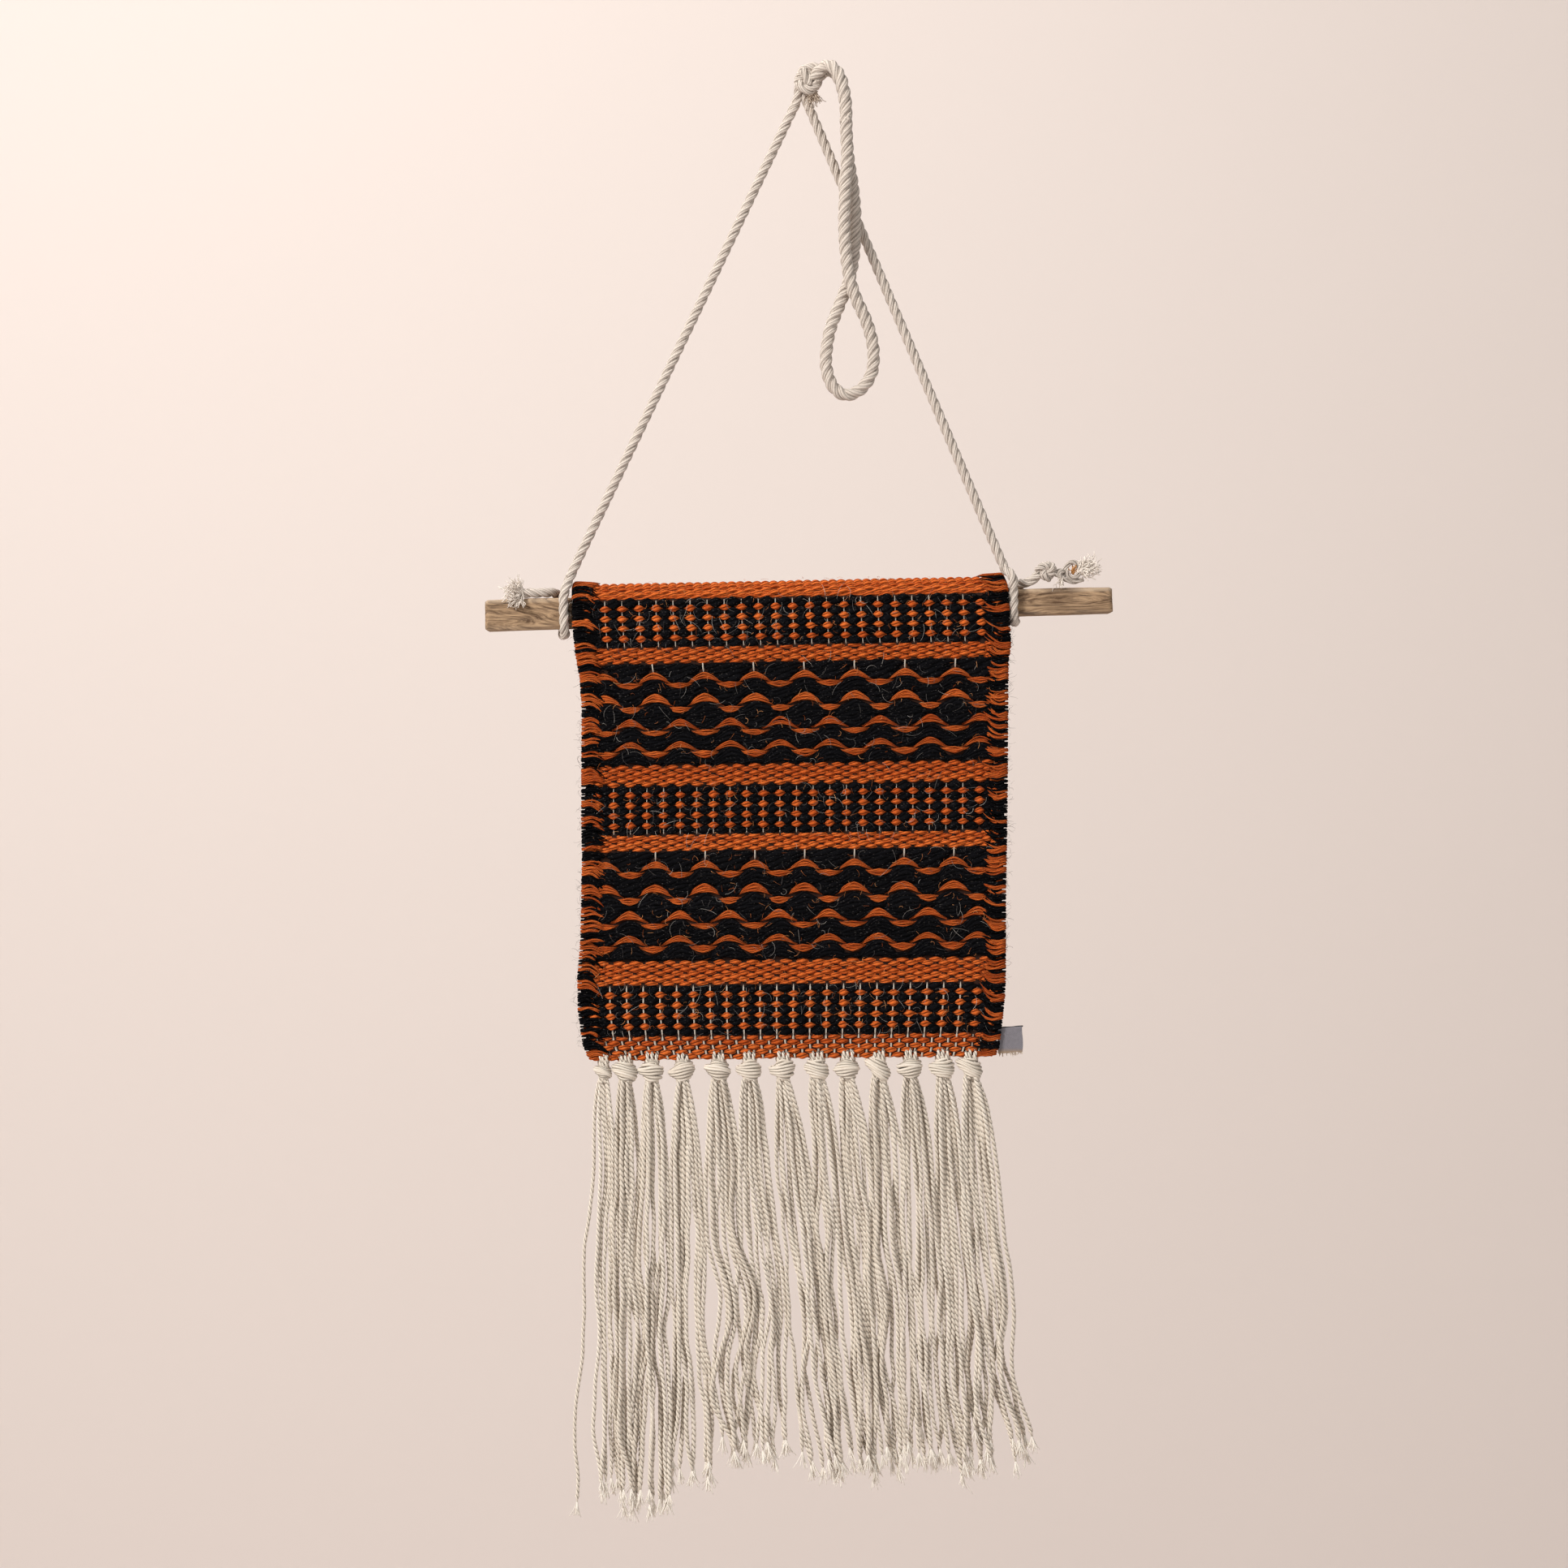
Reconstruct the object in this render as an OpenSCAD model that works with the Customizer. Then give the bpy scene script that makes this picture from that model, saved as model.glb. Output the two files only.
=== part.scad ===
// Woven wall hanging on a wooden rod, held by one knotted cotton cord.
// Origin: where the cord rests on its nail. +X right, -Y towards the viewer, +Z up. Millimetres.

/* [Rod] */
// Length of the rod to the left of the nail
rod_left = 154.4; // [140:0.2:190]
// Length of the rod to the right of the nail
rod_right = 149.7; // [140:0.2:190]
// Front to back depth of the rod
rod_depth = 13; // [10:0.5:16]
// Height of the rod at its thick left end
rod_left_h = 15.4; // [12:0.1:18.5]
// Height of the rod at its thin right end
rod_right_h = 12.6; // [10:0.1:15.2]
// Chamfer along the four long edges of the rod
rod_chamfer = 2.5; // [1.5:0.1:3]
// Tilt of the rod, right end up, in degrees
rod_tilt = 1.4; // [0:0.1:3]
// Drop from the nail to the middle of the rod
rod_drop = 248.5; // [200:0.5:300]

/* [Cloth] */
// Distance of the cloth's left edge from the nail
cloth_left = 108.2; // [88:0.2:130]
// Distance of the cloth's right edge from the nail
cloth_right = 97.8; // [80:0.2:118]
// Thickness of the woven cloth
cloth_t = 5; // [4:0.1:6]
// Distance from the rod's centre line to the line where the single cloth bends
fold_below = 44; // [40:1:60]
// Length of the single cloth below that line, at the nail
panel_len = 174.4; // [140:0.2:215]
// Tilt of the cloth's lower edge, in degrees
hem_tilt = 0.65; // [0:0.05:2]
// Slack between the rod's front and back and the inside of the fold
fold_slack = 0.8; // [0.5:0.1:2]
// Height of the turned hem sewn behind the front cloth
hem_h = 12; // [8:1:14]
// Width that the edge wrapping stands out from the cloth
wrap_w = 2.5; // [2:0.1:3]
// Spacing of the hem stitches
stitch_pitch = 8; // [6:0.5:12]

/* [Hanging cord] */
// Diameter of the taut cord
cord_d = 4.8; // [4:0.1:5.6]
// Diameter of the slack cord in the spare loop
slack_d = 6.2; // [5:0.1:6.6]
// Height of the cord's bend above the top of the fold
bend_up = 3.2; // [3:0.1:8]
// Distance of that bend in front of the rod's centre line
pivot_front = 6.5; // [5:0.1:8]

/* [Fringe] */
// Length of the strands below their knots on the right
fringe_len = 187; // [150:1:225]
// Extra length of the four left tassels
fringe_extra = 13; // [0:1:20]
// Depth of a tassel, front to back
tassel_depth = 8; // [6:0.5:10]
// Largest radius of a fringe knot
knot_r = 5.6; // [4.5:0.1:6.5]
// Height of a fringe knot
knot_h = 10; // [8:0.5:12]
// Side clearance between neighbouring tassels
lane_gap = 0.6; // [0.4:0.1:1]

/* [Label] */
// Width that the label stands out from the edge
label_w = 7.5; // [5:0.5:12]
// Height of the label
label_h = 12.5; // [8:0.5:16]
// Thickness of the folded label
label_t = 1; // [0.6:0.1:1.5]
// Distance of the label's lower edge above the cloth's lower edge
label_up = 2; // [1:0.5:20]

/* [Hidden] */
knot_count = 13;
function two_digit(i) = i < 10 ? str("0", i) : str(i);

// Finish and fit
touch_gap = 0.3;
cord_r = cord_d / 2;
slack_r = slack_d / 2;
cord_sides = 12;
round_fn = 48;
wood = [0.56, 0.43, 0.31];
cotton = [0.86, 0.83, 0.78];
rust = [0.72, 0.27, 0.09];
ink = [0.06, 0.06, 0.07];
lilac = [0.62, 0.60, 0.68];

// Heights across the rod
rod_len = rod_left + rod_right;
function rod_h(u) = rod_left_h + (rod_right_h - rod_left_h) * (u + rod_left) / rod_len;

// The arch of the fold rests on the rod's two top edges
rod_top_mean = (rod_left_h + rod_right_h) / 4;
arch_rise = 2.2;
fold_r = rod_depth / 2 + fold_slack;
fold_centre = rod_top_mean - rod_chamfer - arch_rise;
fold_outer = fold_r + cloth_t;
pivot_up = fold_centre + fold_outer + bend_up;
front_mid = -(fold_r + cloth_t / 2);
flap_turn = -(rod_left_h / 2 + 0.8);
flap_meet = flap_turn - 16;
hem_end = -(fold_below - 4);
hem_start = hem_end + hem_h;

// Rod frame to the part's frame and back
module rod_frame() {
    translate([0, 0, -rod_drop]) rotate([0, -rod_tilt, 0]) children();
}
function from_rod(p) = [p[0] * cos(rod_tilt) - p[2] * sin(rod_tilt),
                        p[1],
                        -rod_drop + p[0] * sin(rod_tilt) + p[2] * cos(rod_tilt)];
function fold_z(x) = -rod_drop - fold_below / cos(rod_tilt) + x * tan(rod_tilt);
function edge_z(x) = -rod_drop - fold_below - panel_len + x * tan(hem_tilt);

// ---- Cord sweep: rings carried along a route without twisting ----
function unit(v) = v / norm(v);
function route_dir(p, i) =
    unit(p[min(i + 1, len(p) - 1)] - p[max(i - 1, 0)]);
function square_to(n, t) = unit(n - (n * t) * t);
function ring_normals(dirs, n, i = 0, found = []) =
    i == len(dirs) ? found :
    let (m = square_to(n, dirs[i]))
    ring_normals(dirs, m, i + 1, concat(found, [m]));

module sweep_cord(route, r, start_normal) {
    dirs = [for (i = [0:len(route) - 1]) route_dir(route, i)];
    normals = ring_normals(dirs, start_normal);
    n = cord_sides;
    last = len(route) - 1;
    points = [for (i = [0:last], j = [0:n - 1])
        let (a = 360 * j / n)
        route[i] + r * (cos(a) * normals[i] + sin(a) * cross(dirs[i], normals[i]))];
    walls = [for (i = [0:last - 1], j = [0:n - 1], half = [0, 1])
        let (a = i * n + j, b = i * n + (j + 1) % n)
        half == 0 ? [a, a + n, b] : [b, a + n, b + n]];
    first_cap = [[for (j = [0:n - 1]) j]];
    last_cap = [[for (j = [n - 1:-1:0]) last * n + j]];
    polyhedron(points = points, faces = concat(walls, first_cap, last_cap));
}

// ---- Hanging cord ----
leg_top_z = -4;
leg_rings = 10;
left_leg_top = [-4.2, 0, leg_top_z];
right_leg_top = [2.2, 0, leg_top_z];
left_pivot_u = -cloth_left - 4.6;
right_pivot_u = cloth_right - 0.6;
left_pivot = from_rod([left_pivot_u, -pivot_front, pivot_up]);
right_pivot = from_rod([right_pivot_u, -pivot_front, pivot_up]);
function straight(a, b, n) = [for (i = [0:n - 1]) a + (b - a) * i / (n - 1)];

module cord_left_leg() {
    color(cotton) sweep_cord(straight(left_leg_top, left_pivot, leg_rings), cord_r, [0, 1, 0]);
}

module cord_right_leg() {
    color(cotton) sweep_cord(straight(right_leg_top, right_pivot, leg_rings), cord_r, [0, 1, 0]);
}

// Wraps of the knot that sits on the nail
knot_middle = [3.5, -3.2, 8];
wrap_ring_r = 4;
module ring(ring_r, r) {
    rotate_extrude($fn = round_fn) translate([ring_r, 0]) circle(r = r, $fn = 24);
}

module strand(a, b, r) {
    d = b - a;
    translate(a)
        rotate([0, acos(d[2] / norm(d)), atan2(d[1], d[0])])
            cylinder(r = r, h = norm(d), $fn = 24);
}

module cord_top_knot() {
    color(cotton) {
        translate(knot_middle) rotate([78, 0, 20]) ring(wrap_ring_r, cord_r);
        translate(knot_middle + [0.6, 1.5, -0.6]) rotate([40, 35, 0]) ring(wrap_ring_r - 0.6, cord_r);
        translate(knot_middle) sphere(r = wrap_ring_r, $fn = round_fn);
        strand(left_leg_top + [0.4, 0, 0.8], knot_middle + [-3, 2, -3], cord_r);
        strand(right_leg_top + [-0.3, 0, 1.4], knot_middle + [-1, 3, -3], cord_r);
        strand(knot_middle + [1, 1, -2], [7.2, -2.4, -2.6], cord_r * 0.8);
    }
}

// Two cords lie side by side over the arch; the loop turns below its end
arch_end_z = -12;
front_arch = [[10, -8.6, 12], [11.4, -10, 13.4], [14, -12, 12.2], [17.4, -14, 7.6], [19.2, -14.8, 1],
              [20.2, -15, -5], [20.5, -15, arch_end_z]];
back_arch = [[10.8, -1.6, 11], [12, -3.4, 12.4], [14.4, -6, 11.2], [17.4, -8.2, 7], [19.2, -8.5, 1],
             [20.2, -8.5, -5], [20.5, -8.5, arch_end_z]];
module cord_loop_arch() {
    color(cotton) {
        sweep_cord(front_arch, slack_r, [0, 1, 0]);
        sweep_cord(back_arch, slack_r, [0, 1, 0]);
    }
}

loop_route = [[20.5, -15, -15.8], [20.9, -15, -31], [20.2, -15, -45], [19.6, -15, -59], [19.8, -15, -71],
              [20.8, -15, -82], [22.6, -14.6, -92], [25.8, -13.6, -101], [29.6, -12.4, -109],
              [32.6, -11.6, -118], [33.8, -11.2, -127], [32.6, -11, -136], [27.4, -11, -143.4],
              [20, -11, -146], [13.8, -11, -141.4], [11, -10.8, -133], [11, -10.4, -125], [12.6, -9.8, -115],
              [15.8, -9, -106], [19, -8.6, -98], [22, -8.4, -90], [24, -8.2, -80], [24.8, -8.2, -70],
              [25, -8.2, -59], [23.8, -8.3, -45], [21.6, -8.4, -31], [20.5, -8.5, -15.8]];
module cord_spare_loop() {
    color(cotton) sweep_cord(loop_route, slack_r, [0, 1, 0]);
}

// ---- Hitches: one turn round the rod, then a loose tail along its top ----
left_strand_u = -cloth_left - 7.8;
right_strand_u = cloth_right + 3.6;
corner_steps = [0, 30, 60, 90];
// Centre line of a turn that lies on the rod's chamfered edges; the angle starts at the front
function turn_corner(u, side_y, side_w, from) =
    [for (a = corner_steps)
        [u, side_y * (rod_depth / 2 - rod_chamfer) + (rod_chamfer + cord_r + touch_gap) * cos(from + a),
            side_w * (rod_h(u) / 2 - rod_chamfer) + (rod_chamfer + cord_r + touch_gap) * sin(from + a)]];
// A point of a loose tail, at its height above where a cord would lie on the rod
function on_top(u, y, up) = [u, y, rod_h(u) / 2 + cord_r + touch_gap + up];

left_turn = concat(
    [[left_pivot_u - 0.9, -pivot_front - 0.6, pivot_up - 2.9],
     [left_strand_u + 1, -pivot_front - 1.9, pivot_up - 6],
     [left_strand_u, -rod_depth / 2 - cord_r - touch_gap, pivot_up - 11]],
    turn_corner(left_strand_u, -1, -1, 180),
    turn_corner(left_strand_u - 1.6, 1, -1, 270),
    turn_corner(left_strand_u - 4, 1, 1, 0));
left_tail = [on_top(left_strand_u - 6, 0, 0.4), on_top(left_strand_u - 9, -2.4, 0.4),
             on_top(left_strand_u - 14, 2.9 - rod_depth / 2, 0.3),
             on_top(left_strand_u - 20, 2.1 - rod_depth / 2, 0.3)];
right_turn = concat(
    [[right_pivot_u + 1.5, -pivot_front - 0.9, pivot_up - 2.4],
     [right_strand_u - 0.4, -pivot_front - 2.8, pivot_up - 5],
     [right_strand_u, -rod_depth / 2 - cord_r - touch_gap, pivot_up - 10.6]],
    turn_corner(right_strand_u, -1, -1, 180),
    turn_corner(right_strand_u + 1.6, 1, -1, 270),
    turn_corner(right_strand_u + 4, 1, 1, 0));
right_tail = [on_top(right_strand_u + 5.6, 0, 0.6), on_top(right_strand_u + 8, -2, 0.8),
              on_top(right_strand_u + 10.6, -3, 2.4), on_top(right_strand_u + 13.2, -3.2, 4.4)];

module cord_left_hitch() {
    color(cotton) rod_frame() sweep_cord(concat(left_turn, left_tail), cord_r, [1, 0, 0]);
}

module cord_right_hitch() {
    color(cotton) rod_frame() sweep_cord(concat(right_turn, right_tail), cord_r, [1, 0, 0]);
}

module frayed_end(at, long, r_end, turn) {
    translate(at) rotate(turn) cylinder(h = long, r1 = cord_r, r2 = r_end, $fn = round_fn);
}

left_tail_end = left_tail[len(left_tail) - 1];
right_tail_end = right_tail[len(right_tail) - 1];
end_knot_r = 3.4;
end_knot_at = right_tail_end + [3.4, -0.2, 1.6];
module cord_left_tuft() {
    color(cotton) rod_frame() frayed_end(left_tail_end + [-touch_gap, -1.2, 0.6], 9.5, 4.4, [0, -90, 7]);
}

module cord_right_end_knot() {
    color(cotton) rod_frame() {
        translate(end_knot_at) rotate([75, 0, 60]) ring(end_knot_r - 0.8, cord_r * 0.9);
        translate(end_knot_at) rotate([0, 60, 0]) ring(end_knot_r - 0.8, cord_r * 0.9);
        translate(end_knot_at) sphere(r = end_knot_r, $fn = round_fn);
    }
}

module cord_right_tuft() {
    color(cotton) rod_frame()
        frayed_end(end_knot_at + [end_knot_r + 0.6, 0, -0.6], 21.3, 4.6, [0, 90, 0]);
}

// ---- Rod: a chamfered bar that tapers in height ----
module rod_section(h) {
    d = rod_depth / 2;
    c = rod_chamfer;
    polygon([[-d, -h + c], [-d + c, -h], [d - c, -h], [d, -h + c],
             [d, h - c], [d - c, h], [-d + c, h], [-d, h - c]]);
}

module rod() {
    end_t = 0.01;
    color(wood) rod_frame() hull() {
        translate([-rod_left, 0, 0]) rotate([90, 0, 90]) linear_extrude(end_t) rod_section(rod_left_h / 2);
        translate([rod_right - end_t, 0, 0]) rotate([90, 0, 90])
            linear_extrude(end_t) rod_section(rod_right_h / 2);
    }
}

// ---- Cloth ----
arch_steps = 16;
function arch(r) = [for (i = [0:arch_steps])
    let (a = 180 - 180 * i / arch_steps) [r * cos(a), fold_centre + r * sin(a)]];
pocket_bottom = -fold_below + cloth_t / 2 + touch_gap;

// Front layer, arch over the rod, and a back flap sewn to the front layer under the rod
module pocket_section() {
    difference() {
        polygon(concat([[-fold_outer, pocket_bottom]], arch(fold_outer),
            [[fold_outer, flap_turn], [-fold_r + cloth_t, flap_meet - 3], [-fold_r + cloth_t, hem_end],
             [-fold_r, hem_end], [-fold_r, pocket_bottom]]));
        polygon(concat(arch(fold_r), [[fold_r, flap_turn - 0.5], [-fold_r, flap_meet]]));
    }
}

module pocket_slice(from, to) {
    rod_frame() translate([from, 0, 0]) rotate([90, 0, 90]) linear_extrude(to - from) pocket_section();
}

// The cloth is a little wider where it is folded, mostly on the left
left_spread = 3.4;
right_spread = 0.4;
pocket_from = -cloth_left - left_spread + wrap_w;
pocket_to = cloth_right + right_spread - wrap_w;
module cloth_rod_pocket() {
    color(rust) pocket_slice(pocket_from, pocket_to);
}

module pocket_left_wrap() {
    color(ink) pocket_slice(pocket_from - wrap_w, pocket_from);
}

module pocket_right_wrap() {
    color(ink) pocket_slice(pocket_to, pocket_to + wrap_w);
}

panel_from = -cloth_left + wrap_w;
panel_to = cloth_right - wrap_w;

// Flat cloth between two upright lines, with a round top on the bend line
function half_round(r) = [for (i = [0:arch_steps]) let (a = 180 - 180 * i / arch_steps) [r * cos(a), r * sin(a)]];
module cloth_panel() {
    long = panel_len * 1.1;
    color(rust) intersection() {
        rod_frame() translate([-rod_left, front_mid, -fold_below]) rotate([90, 0, 90])
            linear_extrude(rod_len) polygon(concat(half_round(cloth_t / 2),
                [[cloth_t / 2, -long], [-cloth_t / 2, -long]]));
        rotate([90, 0, 0]) linear_extrude(8 * cloth_t, center = true)
            polygon([[panel_from, fold_z(panel_from) + cloth_t], [panel_to, fold_z(panel_to) + cloth_t],
                     [panel_to, edge_z(panel_to)], [panel_from, edge_z(panel_from)]]);
    }
}

// Overcast yarn that rounds off a side edge
module edge_wrap(x, out) {
    low = edge_z(x);
    high = fold_z(x) - 1;
    intersection() {
        translate([x, front_mid, low]) cylinder(r = cloth_t / 2, h = high - low, $fn = round_fn);
        translate([out < 0 ? x - wrap_w : x, front_mid - cloth_t, low])
            cube([wrap_w, 2 * cloth_t, high - low]);
    }
}

module panel_left_wrap() {
    color(ink) edge_wrap(panel_from, -1);
}

module panel_right_wrap() {
    color(ink) edge_wrap(panel_to, 1);
}

// Whip stitches over the hem's lower edge, on the back
stitch_w = 1.2;
stitch_t = 0.8;
stitch_up = 6;
module hem_stitches() {
    hem_back = -fold_r + cloth_t;
    count = floor((pocket_to - pocket_from - 6) / stitch_pitch);
    first = (pocket_from + pocket_to - count * stitch_pitch) / 2;
    color(rust) rod_frame() for (i = [0:count])
        translate([first + i * stitch_pitch - stitch_w / 2, 0, 0]) rotate([90, 0, 90]) linear_extrude(stitch_w)
            polygon([[hem_back, hem_end + stitch_up], [hem_back + stitch_t, hem_end + stitch_up],
                     [hem_back + stitch_t, hem_end - stitch_t], [-fold_r, hem_end - stitch_t],
                     [-fold_r, hem_end], [hem_back, hem_end]]);
}

// ---- Label: a folded tab that turns on its seam at the right edge ----
label_x = cloth_right + touch_gap + label_t / 2;
label_z = edge_z(cloth_right) + label_up;
module label() {
    color(lilac) translate([label_x, front_mid, label_z]) {
        cylinder(d = label_t, h = label_h, $fn = 24);
        translate([0, -label_t / 2, 0]) cube([label_w, label_t, label_h]);
    }
}

// ---- Fringe: knots under the lower edge, each with its own bundle of strands ----
// Places of the knots, as shares of the cloth's width from its left edge
knot_share = [0.055, 0.108, 0.17, 0.24, 0.325, 0.4, 0.478, 0.558, 0.63, 0.704, 0.778, 0.85, 0.92];
cloth_w = cloth_left + cloth_right;
function knot_x(i) = -cloth_left + cloth_w * knot_share[i - 1];
outer_lane = 7.5;
function lane_edge(i) =
    i == 0 ? knot_x(1) - outer_lane :
    i == knot_count ? knot_x(knot_count) + outer_lane :
    (knot_x(i) + knot_x(i + 1)) / 2;
function knot_size(i) = min(knot_r, knot_x(i) - lane_edge(i - 1), lane_edge(i) - knot_x(i)) - touch_gap;
function knot_top(i) = edge_z(knot_x(i)) - touch_gap;
function tassel_pivot_z(i) = knot_top(i) - knot_h - touch_gap - tassel_depth / 2;
function tassel_len(i) = i <= 4 ? fringe_len + fringe_extra : fringe_len;

// The strands fan out and drift to the right as they hang
fan_scale = 1.15;
fan_shift = 9;
function lane_low(x) = x * fan_scale + fan_shift;
full_width_at = 24;
neck_share = 0.62;

module fringe_knot(i) {
    r = knot_size(i);
    bulge = min(r, knot_h / 2) * 0.7;
    color(cotton) translate([knot_x(i), front_mid, knot_top(i) - knot_h])
        rotate_extrude($fn = round_fn) polygon(concat([[0, 0]],
            [for (a = [-90:15:90]) [r - bulge + bulge * cos(a), knot_h / 2 + knot_h / 2 * sin(a)]],
            [[0, knot_h]]));
}

module tassel(i) {
    z = tassel_pivot_z(i);
    neck = knot_size(i) * 2 * neck_share;
    left = lane_edge(i - 1) + lane_gap / 2;
    right = lane_edge(i) - lane_gap / 2;
    low = z - tassel_len(i);
    share = full_width_at / tassel_len(i);
    left_wide = left + (lane_low(left) - left) * share;
    right_wide = right + (lane_low(right) - right) * share;
    color(cotton) {
        translate([0, front_mid + tassel_depth / 2, 0]) rotate([90, 0, 0]) linear_extrude(tassel_depth)
            polygon([[knot_x(i) - neck / 2, z], [knot_x(i) + neck / 2, z], [right_wide, z - full_width_at],
                     [lane_low(right), low], [lane_low(left), low], [left_wide, z - full_width_at]]);
        translate([knot_x(i) - neck / 2, front_mid, z]) rotate([0, 90, 0])
            cylinder(d = tassel_depth, h = neck, $fn = round_fn);
    }
}

rod();
cord_left_leg();
cord_right_leg();
cord_top_knot();
cord_loop_arch();
cord_spare_loop();
cord_left_hitch();
cord_right_hitch();
cord_left_tuft();
cord_right_end_knot();
cord_right_tuft();
cloth_rod_pocket();
cloth_panel();
pocket_left_wrap();
pocket_right_wrap();
panel_left_wrap();
panel_right_wrap();
hem_stitches();
label();
for (i = [1:knot_count])
    fringe_knot(i);
for (i = [1:knot_count])
    tassel(i);
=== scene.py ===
import math

import bpy
import mathutils
import numpy as np
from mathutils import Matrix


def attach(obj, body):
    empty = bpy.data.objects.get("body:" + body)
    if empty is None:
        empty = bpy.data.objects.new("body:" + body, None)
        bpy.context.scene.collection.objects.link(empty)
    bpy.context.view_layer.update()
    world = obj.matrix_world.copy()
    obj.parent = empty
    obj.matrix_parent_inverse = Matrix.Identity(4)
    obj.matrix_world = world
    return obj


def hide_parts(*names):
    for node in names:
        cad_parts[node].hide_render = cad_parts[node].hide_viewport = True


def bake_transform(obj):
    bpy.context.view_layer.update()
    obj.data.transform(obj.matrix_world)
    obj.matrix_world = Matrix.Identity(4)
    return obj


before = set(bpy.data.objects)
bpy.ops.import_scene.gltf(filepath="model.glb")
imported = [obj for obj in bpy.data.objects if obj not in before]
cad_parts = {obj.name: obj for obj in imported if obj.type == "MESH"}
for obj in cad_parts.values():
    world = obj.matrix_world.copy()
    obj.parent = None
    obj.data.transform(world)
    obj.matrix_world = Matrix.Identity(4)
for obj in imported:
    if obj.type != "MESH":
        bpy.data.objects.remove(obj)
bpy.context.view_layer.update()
rng = np.random.default_rng(7)
mm = 0.001


class Value:  # a number in a shader; every operator adds one Math node
    def __init__(self, look, socket):
        self.look = look
        self.socket = socket

    def math(self, operation, *others):
        node = self.look.add("ShaderNodeMath", {"operation": operation}, self, *others)
        return Value(self.look, node.outputs[0])

    def __add__(self, other):
        return self.math("ADD", other)

    def __mul__(self, other):
        return self.math("MULTIPLY", other)

    def __sub__(self, other):
        return self.math("SUBTRACT", other)

    def __rsub__(self, other):
        return (self * -1.0) + other

    def __truediv__(self, other):
        return self.math("DIVIDE", other)

    def __pow__(self, other):
        return self.math("POWER", other)

    __radd__ = __add__
    __rmul__ = __mul__

    def sin(self):
        return self.math("SINE")

    def clip(self):
        return self.math("MINIMUM", 1.0).math("MAXIMUM", 0.0)

    def between(self, low, high):  # 0 below low, 1 above high, straight in between
        return ((self - low) / (high - low)).clip()


class Look:  # one node material with a Principled surface
    def __init__(self, name, roughness, sheen=0.0, specular=0.5):
        self.material = bpy.data.materials.new(name)
        self.material.use_nodes = True
        self.tree = self.material.node_tree
        self.surface = self.tree.nodes["Principled BSDF"]
        self.surface.inputs["Roughness"].default_value = roughness
        self.surface.inputs["Sheen Weight"].default_value = sheen
        self.surface.inputs["Specular IOR Level"].default_value = specular

    def add(self, kind, settings, *inputs, **named):  # any node from its type, its settings and its inputs
        node = self.tree.nodes.new(kind)
        for key, value in settings.items():
            setattr(node, key, value)
        for key, value in list(enumerate(inputs)) + list(named.items()):
            socket = node.inputs[key if isinstance(key, int) else key.replace("_", " ")]
            source = value.socket if isinstance(value, Value) else value
            if isinstance(source, bpy.types.NodeSocket):
                self.tree.links.new(source, socket)
            else:
                socket.default_value = source
        return node

    def place(self):
        return self.add("ShaderNodeTexCoord", {}).outputs["Object"]

    def uv(self):  # x runs round a yarn, y along it in metres
        return self.add("ShaderNodeUVMap", {"uv_map": "round"}).outputs[0]

    def attribute(self, name):
        return Value(self, self.add("ShaderNodeAttribute", {"attribute_name": name}).outputs["Fac"])

    def split(self, vector):
        node = self.add("ShaderNodeSeparateXYZ", {}, vector)
        return [Value(self, out) for out in node.outputs]

    def stretch(self, vector, x, y, z):
        return self.add("ShaderNodeVectorMath", {"operation": "MULTIPLY"}, vector, (x, y, z)).outputs[0]

    def noise(self, vector, scale, detail=2.0, roughness=0.5):
        node = self.add("ShaderNodeTexNoise", {}, Vector=vector, Scale=scale, Detail=detail,
                        Roughness=roughness)
        return Value(self, node.outputs["Fac"])

    def mix(self, share, low, high):
        node = self.add("ShaderNodeMix", {"data_type": "RGBA"}, share)
        for key, colour in ((6, low), (7, high)):
            if isinstance(colour, bpy.types.NodeSocket):
                self.tree.links.new(colour, node.inputs[key])
            else:
                node.inputs[key].default_value = (*colour, 1.0)
        return node.outputs[2]

    def paint(self, colour):
        self.tree.links.new(colour, self.surface.inputs["Base Color"])

    def rough(self, value):
        self.tree.links.new(value.socket, self.surface.inputs["Roughness"])

    def bump(self, height, distance, strength=1.0):
        node = self.add("ShaderNodeBump", {}, Strength=strength, Distance=distance, Height=height)
        self.tree.links.new(node.outputs[0], self.surface.inputs["Normal"])


def yarnLook(name, dark, light, hair, lines, lineDepth, roughness, sheen, hairShare):
    # colour: dark to light by the yarn's tone and by blotches, with painted shade along sine lines that
    # slant round it; height: the same sine lines
    look = Look(name, roughness, sheen, 0.04)
    around, along, _ = look.split(look.uv())
    tone = look.attribute("tone")
    place = look.place()
    blotch = look.noise(look.stretch(place, 260, 260, 500), 1.0, 3.0, 0.6)
    fibre = look.noise(look.stretch(look.uv(), 14, 900, 1), 1.0, 3.0, 0.65)
    slant = (around * lines * 2 * math.pi + along * lineDepth["slant"] + math.pi / 2).sin()
    line = (slant * 0.5 + 0.5) ** 0.6
    shade = (tone * 0.5 + blotch * 0.55 + (fibre - 0.5) * 0.8 - 0.03).clip()
    body = look.mix(shade, dark, light)
    # painted shade in the grooves between the plies, along the slanting lines
    withGrooveShade = look.mix(line.between(0.0, lineDepth["width"]), tuple(c * lineDepth["shade"] for c in dark),
                      body)
    stray = look.noise(look.stretch(place, 900, 900, 2600), 1.0, 1.0).between(0.66, 0.74) * hairShare
    # a tone below 0 is painted shade in the crevices between a rope's strands
    deep = look.mix(tone.between(-1.0, 0.0), tuple(c * 0.3 for c in dark), withGrooveShade)
    look.paint(look.mix(stray, deep, hair))
    look.bump(line * 0.7 + fibre * 0.6, lineDepth["bump"])
    return look.material


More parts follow.
